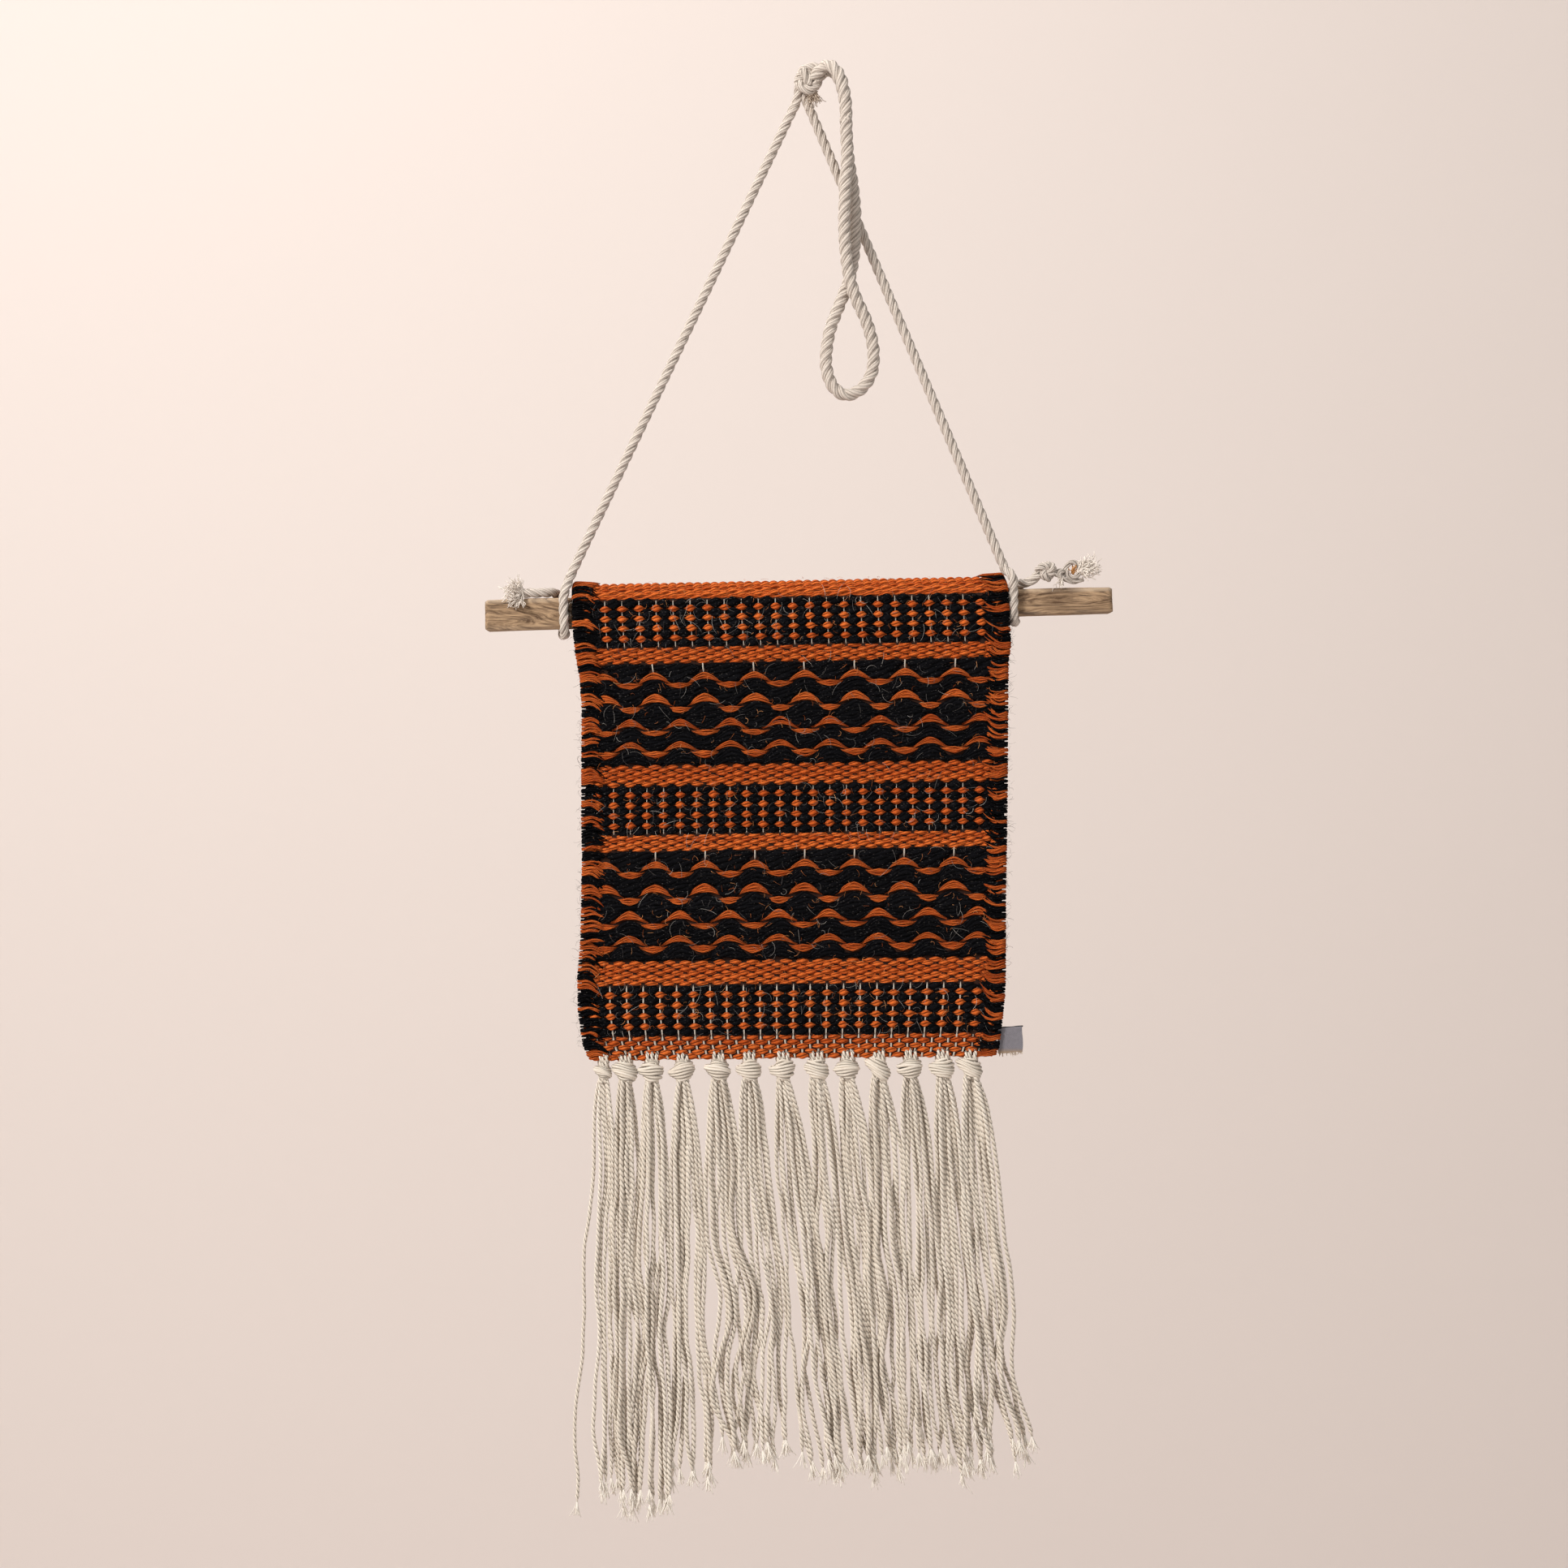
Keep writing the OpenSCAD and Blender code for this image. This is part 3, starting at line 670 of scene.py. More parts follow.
# one float: colour, column of warps, kind, top and low of its rows (mm), yarns, reach to its tips (warps)
floats = [("black", 3, "flat", 0.3, 3.7, 1, 2.82), ("black", 3, "flat", 2.6, 6.0, 1, 2.35),
          ("black", 3, "flat", 4.9, 8.9, 1, 1.7), ("rust", 0, "peak", 4.4, 7.9, 3, 2.05),
          ("rust", 3, "trough", 9.0, 12.6, 3, 1.4), ("black", 0, "peak", 7.6, 14.6, 3, 2.25),
          ("black", 3, "trough", 12.4, 20.8, 3, 1.8), ("rust", 0, "peak", 14.6, 18.9, 3, 2.05),
          ("rust", 3, "trough", 20.7, 24.4, 3, 1.4), ("black", 0, "diamond", 19.0, 32.6, 5, 2.7),
          ("black", 3, "flat", 24.5, 26.2, 1, 1.4), ("rust", 3, "peak", 26.6, 30.6, 3, 2.05),
          ("rust", 0, "trough", 32.2, 35.7, 3, 1.4), ("black", 3, "peak", 30.9, 37.8, 3, 2.25),
          ("black", 0, "trough", 35.2, 42.3, 3, 1.8), ("rust", 3, "peak", 37.6, 41.0, 3, 2.05),
          ("rust", 0, "trough", 42.1, 46.2, 3, 1.4), ("black", 3, "peak", 40.9, 48.0, 3, 2.25),
          ("black", 0, "flat", 46.8, 48.6, 1, 1.4)]
bands = {"backTop": (backEnd + 0.8, -2.7), "checkerA": (-2.7, 20.4), "second": (20.4, 28.3),
         "waveOne": (28.3, 77.7), "third": (77.7, 87.6), "checkerB": (87.6, 111.3), "fourth": (111.3, 119.2),
         "waveTwo": (119.2, 172.5), "fifth": (172.5, 184.4), "checkerC": (184.4, 208.8),
         "hem": (208.8, 220.3)}
bendDown = clothSizes["foldCentre"] + clothSizes["foldBelow"]


def rideOrBend(piece, half):
    # above the bend line a piece follows the rod, below it the panel, and across it the piece's place is
    # baked into its mesh
    if half == "upper":
        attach(piece, "rod")
    elif half == "lower":
        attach(piece, "panel")
    else:
        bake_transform(piece)


def bendOrRide(piece, low, high):
    # the half is found from the piece's reach down the cloth
    half = "upper" if high < bendDown - 6 else "lower" if low > bendDown + 6 else "bend"
    rideOrBend(piece, half)
    return piece


def weaveCloth():
    # plain bands, checkers and waves, each band's colours in pieces of their own
    for name in ("backTop", "second", "third", "fourth", "fifth", "hem"):
        top, low = bands[name]
        isHem = name == "hem"
        rows = plainRows(top, low, weave["hemPitch" if isHem else "plainPitch"],
                         weave["hemHalf" if isHem else "plainHalf"],
                         0.65 if name == "backTop" else 0.95)
        halves = [rows[: len(rows) // 2], rows[len(rows) // 2:]] if name == "backTop" else [rows]
        for i, some in enumerate(halves):
            piece = makePiece(f"rustBand_{name}_{i + 1}", [weaveRows(some)], rust)
            bendOrRide(piece, top, low)
    for name in ("checkerA", "checkerB", "checkerC"):
        top, low = bands[name]
        black, orange = checkerRows(top, low)
        for word, rows, material in (("black", black, ink), ("rust", orange, rust)):
            bendOrRide(makePiece(f"{name}_{word}", [weaveRows(rows)], material), top, low)
    for name in ("waveOne", "waveTwo"):
        top, low = bands[name]
        by = (low - top) / (bands["waveOne"][1] - bands["waveOne"][0])
        for word, material in (("black", ink), ("rust", rust)):
            parts = floatRows([one for one in floats if one[0] == word], top, by)
            half = len(parts) // 2
            for i, some in enumerate((parts[:half], parts[half:])):
                bendOrRide(makePiece(f"{name}_{word}_{i + 1}", some, material), top, low)


# radii in mm; a checker has its name, how far its odd warps come forward and their radius
warpSizes = {"samples": 260, "hidden": 0.16, "tick": 0.3, "hem": 0.4,
             "checkers": (("checkerA", 0.45, 0.22), ("checkerB", 0.45, 0.2), ("checkerC", 0.95, 0.33))}


def makeWarps():
    # white cotton warps at the cloth's middle, which come forward where the weave lets them show
    number = np.arange(clothSizes["warps"])
    down = np.linspace(backEnd + 1, clothEnd - 0.4, warpSizes["samples"])[None] + 0 * number[:, None]
    share = ((number + 0.5) * warpPitch)[:, None] + 0 * down
    out = np.zeros_like(down)
    thick = np.full_like(down, warpSizes["hidden"])
    inner = (number[:, None] > 2) & (number[:, None] < clothSizes["warps"] - 3)
    for name, forward, wide in warpSizes["checkers"]:
        top, low = bands[name]
        inside = (down > top + 1.0) & (down < low - 1.0)
        out += inside * inner * (number[:, None] % 2 == 1) * forward
        thick = np.where(inside, wide, thick)
    for name in ("waveOne", "waveTwo"):
        top = bands[name][0]
        tick = (down > top - 0.5) & (down < top + 4.3)
        out += tick * (number[:, None] % 6 == 2) * inner * 1.7
        thick = np.where(tick, warpSizes["tick"], thick)
    inHem = down > bands["hem"][0] + 1
    out += inHem * inner * 0.75
    thick = np.where(inHem, warpSizes["hem"], thick)
    kernel = np.array([0.25, 0.5, 0.25])
    out = np.apply_along_axis(lambda row: np.convolve(np.pad(row, 1, mode="edge"), kernel, "valid"), 1, out)
    centre = onCloth(share, down, out)
    part = roundTubes(centre, thick * mm, 8, tone=rng.uniform(0.5, 0.9, len(number)), start=(1.0, 0.0, 0.0))
    bendOrRide(makePiece("warps", [part], warpCotton), backEnd, clothEnd)


groundSizes = {"along": 240, "across": 60, "thickness": 0.6}


def makeGround():
    # thin cloth at the middle of the weave, folded over the rod with it, so that no light comes through; its
    # near-black brown is painted shade between the yarns
    rows, columns = groundSizes["along"], groundSizes["across"]
    across = np.linspace(0.004, 0.996, columns)
    down = np.linspace(backEnd + 0.8, clothEnd - 1.2, rows)
    grid = onCloth(across[None] + 0 * down[:, None], down[:, None] + 0 * across[None],
                   np.zeros((rows, columns)))
    quads = gridQuads(rows, columns)
    uv = np.stack([across[(quads % columns)], down[(quads // columns)] * mm], axis=-1)
    part = {"verts": grid.reshape(-1, 3), "quads": quads, "uv": uv, "tris": np.zeros((0, 3), int),
            "tone": np.full(rows * columns, 0.2)}
    look = Look("groundShadeCloth", 0.9, 0.1, 0.2)
    blotch = look.noise(look.stretch(look.place(), 900, 900, 900), 1.0, 3.0)
    # near-black brown: painted shade where the gaps between the yarns show this sheet
    look.paint(look.mix(blotch, (0.010, 0.005, 0.004), (0.045, 0.014, 0.006)))
    look.bump(blotch, 0.0004)
    piece = makePiece("groundShadeCloth", [part], look.material)
    solid = piece.modifiers.new("thick", "SOLIDIFY")
    solid.thickness = groundSizes["thickness"] * mm
    solid.offset = 0.0
    bendOrRide(piece, backEnd, clothEnd)
    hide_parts("cloth_rod_pocket", "cloth_panel")
    return piece


weaveCloth()
print("weave ready")
makeWarps()
ground = makeGround()


edgeSizes = {"pitch": 1.02, "inward": 9.4, "radius": 0.58, "front": 2.75, "out": 1.5, "samples": 22,
             "turnFrom": 0.36, "turnFor": 0.28, "turnTo": 0.64, "firstBlack": -14}


def makeEdges():
    # loops of yarn round each side edge: in from the front, round the edge, in again at the back
    patches = {"left": [], "right": []}
    begin, end = edgeSizes["turnFrom"], edgeSizes["turnTo"]
    for side, table, way in (("left", leftOutline, 1), ("right", rightOutline, -1)):
        count = int((clothEnd - backEnd - 3) / edgeSizes["pitch"])
        down = backEnd + 2 + (np.arange(count) + 0.5) * edgeSizes["pitch"] + rng.normal(0, 0.3, count)
        turn = np.linspace(0, 1, edgeSizes["samples"])[None]
        inFront = (edgeSizes["inward"] + 1.6 * np.exp(-np.abs(down) / 30)
                   + rng.uniform(-2.6, 1.6, count))[:, None]
        atBack = (edgeSizes["inward"] - 1.5 + rng.uniform(-2, 1.5, count))[:, None]
        radius = (edgeSizes["radius"] * rng.uniform(0.75, 1.2, count))[:, None]
        deep = edgeSizes["front"] + scatter(0.12, count)
        angle = np.clip((turn - begin) / edgeSizes["turnFor"], 0, 1) * math.pi
        x = np.where(turn < begin, inFront * (1 - turn / begin), 0)
        x = np.where(turn > end, atBack * (turn - end) / begin, x)
        x = x + edgeSizes["out"] * (1.15 - np.sin(angle))
        out = deep * np.cos(angle) * np.where(turn < begin, 0.62 + 0.38 * np.sqrt(turn / begin), 1)
        out = out * np.where(turn > end, 0.62 + 0.38 * np.sqrt((1 - turn) / begin + 1e-9), 1)
        slope = scatter(1.0, count)
        lean = way * (2.6 + 1.6 * np.sin(down / 7.0 + way) + rng.normal(0.0, 0.9, count))[:, None]
        inner = np.clip(1 - turn / begin, 0, 1)
        where = down[:, None] + slope * (0.5 - turn) + lean * inner ** 1.7
        where = where - 1.1 * way * np.sin(inner * math.pi)
        where = np.clip(where, backEnd + 1, clothEnd - 0.9)
        edge = edgeX(where, table)
        centre = atCloth(edge + way * x, where, out)
        taper = np.clip(np.minimum(turn, 1 - turn) / 0.1, 0.25, 1)
        dark = np.zeros(count, bool)
        state, left = True, 3
        for i in range(count):
            checker = any(bands[b][0] - 2 < down[i] < bands[b][1]
                          for b in ("checkerA", "checkerB", "checkerC"))
            if left <= 0:
                state = not state
                low, high = ((4, 11) if checker else (2, 7)) if state else (2, 5 if checker else 9)
                left = rng.integers(low, high)
            dark[i] = state if down[i] > edgeSizes["firstBlack"] else False
            left -= 1
        for flag, material, word in ((True, ink, "black"), (False, rust, "rust")):
            for half, keep in (("upper", down < bendDown - 10), ("bend", abs(down - bendDown) <= 10),
                               ("lower", down > bendDown + 10)):
                use = (dark == flag) & keep
                part = roundTubes(centre[use], (radius * taper * mm)[use], 8,
                                  tone=rng.uniform(0.1, 0.9, use.sum()),
                                  start=(0.0, 0.0, 1.0))
                piece = makePiece(f"edge_{side}_{word}_{half}", [part], material)
                rideOrBend(piece, half)
                patches[side].append(piece)
        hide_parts(f"pocket_{side}_wrap")
        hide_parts(f"panel_{side}_wrap")


makeEdges()
print("edges ready")


hemSizes = {"left": -102, "right": 93, "stitches": 24, "thread": 0.45}


def makeHemStitches():
    # whip stitches on the back: each goes over the hem's lower edge and slants to the next one
    x = np.linspace(hemSizes["left"], hemSizes["right"], hemSizes["stitches"])[:, None]
    turn = np.linspace(0, 1, 14)[None]
    hemBack = clothSizes["flapMeet"][0] + 2.5
    y = hemBack + 0.55 * np.sin(turn * math.pi) + 0.2
    w = clothSizes["hemEnd"] + 6.0 - 7.2 * turn
    y = np.where(turn > 0.8, y - (turn - 0.8) / 0.2 * 3.0, y)
    route = fromRod(inMetres(x + 2.2 * (turn - 0.5), y, w) / mm)
    piece = makePiece("hemStitches", [roundTubes(route, hemSizes["thread"] * mm, 8, start=(1.0, 0.0, 0.0))],
                      hemThread)
    settle(piece, "rod", "hem_thread", "hem_stitches")


makeHemStitches()
print("hem ready")


hairSizes = {"black": 520, "orange": 700, "edge": 600, "radius": 0.06, "samples": 7, "left": -103}


def makeHairs(count, lengths, where, curl):
    # thin stray hairs that leave the face, bend over and wander
    n = hairSizes["samples"]
    t = np.linspace(0, 1, n)[None]
    x, down, out = where(count)
    heading = spread(0, 2 * math.pi, count)
    long = spread(*lengths, count)
    bend = scatter(curl, count)
    a = heading + bend * t
    dx = np.cumsum(np.cos(a), axis=1) / n * long
    dd = np.cumsum(np.sin(a), axis=1) / n * long
    rise = (np.sin(t * math.pi) * spread(0.1, 0.5, count)) * 1.6
    centre = atCloth(x[:, None] + dx, np.clip(down[:, None] + dd, -38, clothEnd), out[:, None] + rise)
    size = hairSizes["radius"] * mm * spread(0.7, 1.5, count) * (1 - 0.5 * t)
    return roundTubes(centre, size, 4, tone=rng.uniform(0, 1, count) ** 2)


def makeFuzz():
    # pale hairs on the black bands, rust hairs anywhere, pale hairs at both side edges
    frontBands = [bands[b] for b in ("checkerA", "waveOne", "checkerB", "waveTwo", "checkerC")]

    def onBlack(count):
        pick = rng.integers(0, len(frontBands), count)
        low = np.array([b[0] for b in frontBands])[pick]
        high = np.array([b[1] for b in frontBands])[pick]
        return rng.uniform(hairSizes["left"], 88, count), rng.uniform(low, high), np.full(count, 2.3)

    def anywhere(count):
        x = rng.uniform(hairSizes["left"], 94, count)
        return x, rng.uniform(-14, clothEnd - 2, count), np.full(count, 2.35)

    def atEdges(count):
        down = rng.uniform(-10, clothEnd - 1, count)
        left = rng.random(count) < 0.5
        down = np.where(left, down, down * 0.84)  # none behind the label
        x = np.where(left, edgeX(down, leftOutline), edgeX(down, rightOutline)) + rng.normal(0, 0.5, count)
        return x, down, rng.uniform(-1.5, 2.6, count)

    sets = (("paleHairs", hairSizes["black"], (3, 11), onBlack, paleHair, 1.6, "black_wool"),
            ("rustHairs", hairSizes["orange"], (1.5, 5), anywhere, rustHair, 1.5, "rust_wool"),
            ("edgeHairs", hairSizes["edge"], (1.5, 4.5), atEdges, paleHair, 1.4, "black_wool"))
    for name, count, lengths, where, material, curl, slot in sets:
        piece = makePiece(name, [makeHairs(count, lengths, where, curl)], material)
        bendOrRide(piece, -20, clothEnd)


makeFuzz()
print("fuzz ready")


labelSizes = {"at": (94.0, -9.8, -464.4), "width": 11.8, "height": 12.5, "thickness": 0.9}


def makeLabel():
    # one flat sheet with a thickness, waved by two sine lines, with loose threads along its lower edge
    x0, y0, z0 = labelSizes["at"]
    w, h, t = labelSizes["width"], labelSizes["height"], labelSizes["thickness"]
    u = np.linspace(0, 1, 26)[None]
    v = np.linspace(0, 1, 30)[:, None]
    wave = 0.35 * np.sin(u * 3.0 + v * 2.0) * u
    ragged = np.where(v < 0.02, 1, 0) * rng.uniform(-0.3, 0.3, (1, 26))
    x = x0 + w * u + 0.25 * np.sin(v * 5) * u + 0 * v
    z = z0 + h * v + ragged + u * 0.8
    y = y0 + wave + 0 * v
    grid = inMetres(x, y, z)
    rows, columns = grid.shape[:2]
    quads = gridQuads(rows, columns)[:, [0, 3, 2, 1]]
    part = {"verts": grid.reshape(-1, 3), "quads": quads, "uv": np.zeros((len(quads), 4, 2)),
            "tris": np.zeros((0, 3), int), "tone": np.full(rows * columns, 0.5)}
    piece = makePiece("labelTab", [part], labelLook())
    solid = piece.modifiers.new("thick", "SOLIDIFY")
    solid.thickness = t * mm
    solid.offset = 0.0
    bevel = piece.modifiers.new("soft", "BEVEL")
    bevel.width = 0.15 * mm
    bevel.segments = 2
    settle(piece, "label", "label_cloth", "label")
    n = 30
    a = np.linspace(0, 1, 6)[None]
    at = spread(0, 1, n)
    threads = inMetres(x0 + w * at + scatter(0.5, n) * a, y0 + scatter(0.5, n) * a,
                       z0 + at * 0.8 + 0.8 - a * spread(1.4, 2.6, n))
    fray = makePiece("labelFray", [roundTubes(threads, 0.12 * mm, 5, tone=rng.random(n), start=(0, 1, 0))],
                     hairLook("labelThread", (0.25, 0.17, 0.11), (0.6, 0.5, 0.4)))
    top = inMetres(x0 + 0.2 + w * a, y0 - 0.1, z0 + h + a * 0.8 + 0.1 * np.sin(a * 9))
    seam = makePiece("labelStitch", [roundTubes(top, 0.35 * mm, 8, start=(0, 1, 0))], ink)
    for other in (fray, seam):
        settle(other, "label", "label_cloth")
    return [piece, fray, seam]


labelPieces = makeLabel()
print("label ready")

fringe = {"strandRadius": 1.16, "plyPitch": 5.4, "samplesPerTurn": 7, "frontMiddle": -9.8,
          "knotHeight": 10.0, "wave": 1.1, "tuftLength": 9.0, "tuftFibres": 18, "tuftRadius": 0.27,
          "wraps": 7, "wrapRadius": 0.82, "knotWide": 5.0, "knotDeep": 3.8, "knotMiddle": 4.9,
          "knotHalf": 4.1, "firstKnot": 0.66, "risers": 7, "riserRadius": 0.95, "coreStrands": 7,
          "coreRadius": 1.1}
# one row for each knot: its x, number of strands, tips from x to x, height of the tips (mm), size
tassels = [(-96.8, 6, -100.0, -91.0, -670, 0.75), (-86.1, 9, -91.0, -79.0, -676, 0.95),
           (-73.5, 11, -81.0, -66.0, -678, 1.0), (-58.5, 11, -63.0, -42.0, -665, 1.0),
           (-41.1, 10, -44.0, -24.0, -653, 1.0), (-26.1, 10, -24.0, -8.0, -654, 1.0),
           (-9.9, 10, 0.0, 17.0, -662, 1.0), (6.7, 10, 13.0, 31.0, -661, 1.0),
           (21.3, 10, 27.0, 44.0, -658, 1.0), (36.3, 10, 39.0, 58.0, -654, 1.0),
           (51.7, 10, 53.0, 72.0, -657, 1.0), (67.2, 11, 70.0, 90.0, -660, 1.0),
           (80.6, 11, 86.0, 111.0, -653, 1.0)]


def edgeZ(x):
    # height of the cloth's lower edge, which tilts a little
    slope = math.tan(math.radians(clothSizes["lowTilt"]))
    return -rodSizes["drop"] - clothSizes["foldBelow"] - clothSizes["panelLength"] + x * slope


def plyTubes(paths, radius, tone):
    # a two-ply strand: one tube whose two-lobed section turns as it goes along
    step = np.linalg.norm(np.diff(paths, axis=1), axis=2)
    run = np.concatenate([np.zeros((len(paths), 1)), np.cumsum(step, axis=1)], axis=1)
    a, b = carriedFrames(paths)
    angle = (-2 * math.pi * run / (fringe["plyPitch"] * mm) + spread(0, 6, len(paths)))[..., None]
    r = np.broadcast_to(np.asarray(radius, float), paths.shape[:2])[..., None]
    sides = 8
    theta = np.arange(sides) * 2 * math.pi / sides
    lobes = (0.55 + 0.45 * np.abs(np.cos(theta)) ** 0.8)[None, None]
    return tubes(paths, (np.cos(angle) * a + np.sin(angle) * b) * r,
                 (np.cos(angle) * b - np.sin(angle) * a) * r, sides,
                 ring=lobes, tone=tone)


def makeTassel(index, line):
    # strands leave the knot in a small ring, spread, hang with a slow wave and end in a little brush
    x, count, tipLeft, tipRight, tipZ, size = line
    top = edgeZ(x) - fringe["knotHeight"] + 0.6
    y0 = fringe["frontMiddle"]
    length = top - tipZ
    samples = int(length / fringe["plyPitch"] * fringe["samplesPerTurn"])
    t = np.linspace(0, 1, samples)[None]
    order = np.argsort(np.arange(count) + rng.normal(0, 0.9, count))
    place = (order + 0.5) / count
    ringAngle = rng.uniform(0, 2 * math.pi, count)
    startX = x + (place * 2 - 1) * 2.7 * size
    startY = y0 + np.sin(ringAngle) * 1.9 * size
    tipX = tipLeft + (tipRight - tipLeft) * place + rng.normal(0, 1.1, count)
    tipY = y0 + rng.uniform(-3.2, 3.4, count)
    high = tipZ + rng.normal(0, 3.2, count)
    if index == 0:  # two loose strands hang away to the left
        first = np.argsort(place)[:2]
        tipX[first] = (-111.5, -101.0)
        high[first] = (-681, -674)
    # a straight share, a quick spread below the knot, then waves that grow downwards
    midX = x + (place * 2 - 1) * 6.6 * size + (tipX - x) * 0.16
    opened = 1 - np.exp(-t * 9)
    xs = startX[:, None] * (1 - opened) + midX[:, None] * opened + (tipX - midX)[:, None] * t ** 1.35
    sway = 0.8 * np.sin(t * math.pi * 3 + ringAngle[:, None]) * t
    ys = startY[:, None] + (tipY - startY)[:, None] * t + sway
    amount = fringe["wave"] * (0.25 + 1.6 * t)
    clump = (place * 3.0).astype(int)
    together = smoothNoise(3, samples, 5, 1.0)[clump] * amount
    xs = xs + 1.1 * together + smoothNoise(count, samples, 8, 0.45) * amount
    xs = xs + smoothNoise(count, samples, 15, 0.3) * (0.4 + t)
    if index in (4, 5, 6):  # these curve round a gap
        xs = xs + 7.0 * np.exp(-((t - 0.62) / 0.14) ** 2) * spread(-0.2, 1.2, count)
    ys = ys + smoothNoise(count, samples, 9, 0.5)
    ys = np.clip(ys, y0 - 5.5, y0 + 5.5)
    zs = top + (high - top)[:, None] * t
    paths = inMetres(xs, ys, zs)
    radius = fringe["strandRadius"] * mm * size ** 0.3 * spread(0.88, 1.1, count)
    radius = radius * np.clip((1 - t) / 0.012, 0.55, 1)
    strands = plyTubes(paths, radius, rng.uniform(0.35, 0.95, count))
    # the brush at each tip: thin fibres that open out
    f = fringe["tuftFibres"]
    s = np.linspace(0, 1, 8)[None]
    tip = np.repeat(paths[:, -1], f, axis=0)
    way = np.repeat(directions(paths)[:, -3], f, axis=0)
    fan = rng.normal(0, 0.17, (count * f, 3)) * (1, 0.7, 0.3)
    long = rng.uniform(0.55, 1.15, count * f)[:, None, None] * fringe["tuftLength"] * mm
    s3 = s[..., None]
    fibres = tip[:, None] - way[:, None] * 1.5 * mm + (way[:, None] * s3 + fan[:, None] * s3 ** 1.6) * long
    brush = roundTubes(fibres, fringe["tuftRadius"] * mm * (1 - 0.35 * s), 5,
                       tone=rng.uniform(0.5, 1, count * f),
                       start=(1.0, 0.0, 0.0))
    name = f"{index + 1:02d}"
    piece = makePiece(f"tasselStrands_{name}", [strands], warpCotton)
    ends = makePiece(f"tasselTips_{name}", [brush], tipFibre)
    settle(piece, f"tassel_{name}", "warp_cotton", f"tassel_{name}")
    settle(ends, f"tassel_{name}", "warp_cotton")
    return [piece, ends]


def knotRings(x, size):
    # wraps of strand round the bundle: leaning rings, widest half way up, drawn out to the left
    n = 30
    a = np.linspace(0, 2 * math.pi, n + 1)[None, :-1]
    a = np.concatenate([a, a[:, :1] + 2 * math.pi], axis=1)
    wraps = fringe["wraps"]
    level = np.linspace(-1, 1, wraps)[:, None]
    wide = (fringe["knotWide"] * size) * (0.62 + 0.38 * (1 - level ** 2)) + scatter(0.22, wraps)
    deep = (fringe["knotDeep"] * size) * (0.72 + 0.28 * (1 - level ** 2))
    lean = rng.normal(0.14, 0.16) + scatter(0.09, wraps)
    pull = 1 + 0.24 * np.maximum(np.cos(a - math.pi), 0) ** 3 * (1 - level ** 2)
    px = x + wide * np.cos(a) * pull
    py = fringe["frontMiddle"] + deep * np.sin(a) + 0 * level
    pz = edgeZ(x) - fringe["knotMiddle"] + level * fringe["knotHalf"] * size - lean * (px - x)
    pz = pz + 0.3 * np.sin(2 * a + level * 2 + rng.uniform(0, 6))
    # the wraps draw together at the left
    pz = pz - level * 1.3 * size * np.maximum(np.cos(a - math.pi), 0) ** 2
    radius = fringe["wrapRadius"] * mm * size ** 0.3
    return roundTubes(inMetres(px, py, pz), radius, 10, rng.uniform(0.35, 0.95, wraps))


def knotRisers(x, size):
    # the warp ends between cloth and knot: they come over the edge from the front and the back
    count = fringe["risers"]
    t = np.linspace(0, 1, 12)[None]
    place = np.linspace(-1, 1, count)[:, None]
    side = np.where(np.arange(count) % 2 > 0, 1, -0.7)[:, None]
    px = x + place * (3.3 * size) * (1 - 0.25 * t) + scatter(0.15, count)
    py = fringe["frontMiddle"] - (2.75 - 1.2 * t) * side
    pz = edgeZ(x) + 3.4 + scatter(0.4, count) - t * 8.5
    py = np.where(t < 0.12, py + side * (0.12 - t) / 0.12 * 1.6, py)
    return plyTubes(inMetres(px, py, pz), fringe["riserRadius"] * mm, rng.uniform(0.6, 0.95, count))


def makeFringe():
    # a knot, its risers, its core and a tassel for each line of the table
    pieces = []
    knots = []
    sizes = [fringe["firstKnot"]] + [1.0] * (len(tassels) - 1)
    for index, (line, size) in enumerate(zip(tassels, sizes)):
        knots += [knotRings(line[0], size), knotRisers(line[0], size)]
        pieces += makeTassel(index, line)
    core = []
    for line, size in zip(tassels, sizes):  # the bundle that the wraps hold
        t = np.linspace(0, 1, 14)[None]
        n = fringe["coreStrands"]
        ring = np.arange(n)[:, None] * 2 * math.pi / n
        bundle = inMetres(line[0] + 2.4 * size * np.cos(ring),
                          fringe["frontMiddle"] + 1.8 * size * np.sin(ring),
                          edgeZ(line[0]) + 1.0 - t * 11.5)
        core.append(plyTubes(bundle, fringe["coreRadius"] * mm, rng.uniform(0.4, 0.8, n)))
    knotPiece = makePiece("fringeKnots", knots + core, warpCotton)
    settle(knotPiece, "panel", "warp_cotton", *[f"fringe_knot_{i + 1:02d}" for i in range(len(tassels))])
    return pieces + [knotPiece]


fringePieces = makeFringe()
print("fringe ready")

leftLegTop, rightLegTop = (-4.2, 0.0, -4.0), (2.2, 0.0, -4.0)
leftPivot = fromRod((-112.8, -6.5, 17.8)) / mm
rightPivot = fromRod((97.2, -6.5, 17.8)) / mm
loopRoute = [(20.5, -15, -15.8), (20.9, -15, -31), (20.2, -15, -45), (19.6, -15, -59), (19.8, -15, -71),
             (20.8, -15, -82), (22.6, -14.6, -92), (25.8, -13.6, -101), (29.6, -12.4, -109),
             (32.6, -11.6, -118), (33.8, -11.2, -127), (32.6, -11, -136), (27.4, -11, -143.4),
             (20, -11, -146), (13.8, -11, -141.4), (11, -10.8, -133), (11, -10.4, -125), (12.6, -9.8, -115),
             (15.8, -9, -106), (19, -8.6, -98), (22, -8.4, -90), (24, -8.2, -80), (24.8, -8.2, -70),
             (25, -8.2, -59), (23.8, -8.3, -45), (21.6, -8.4, -31), (20.5, -8.5, -15.8)]
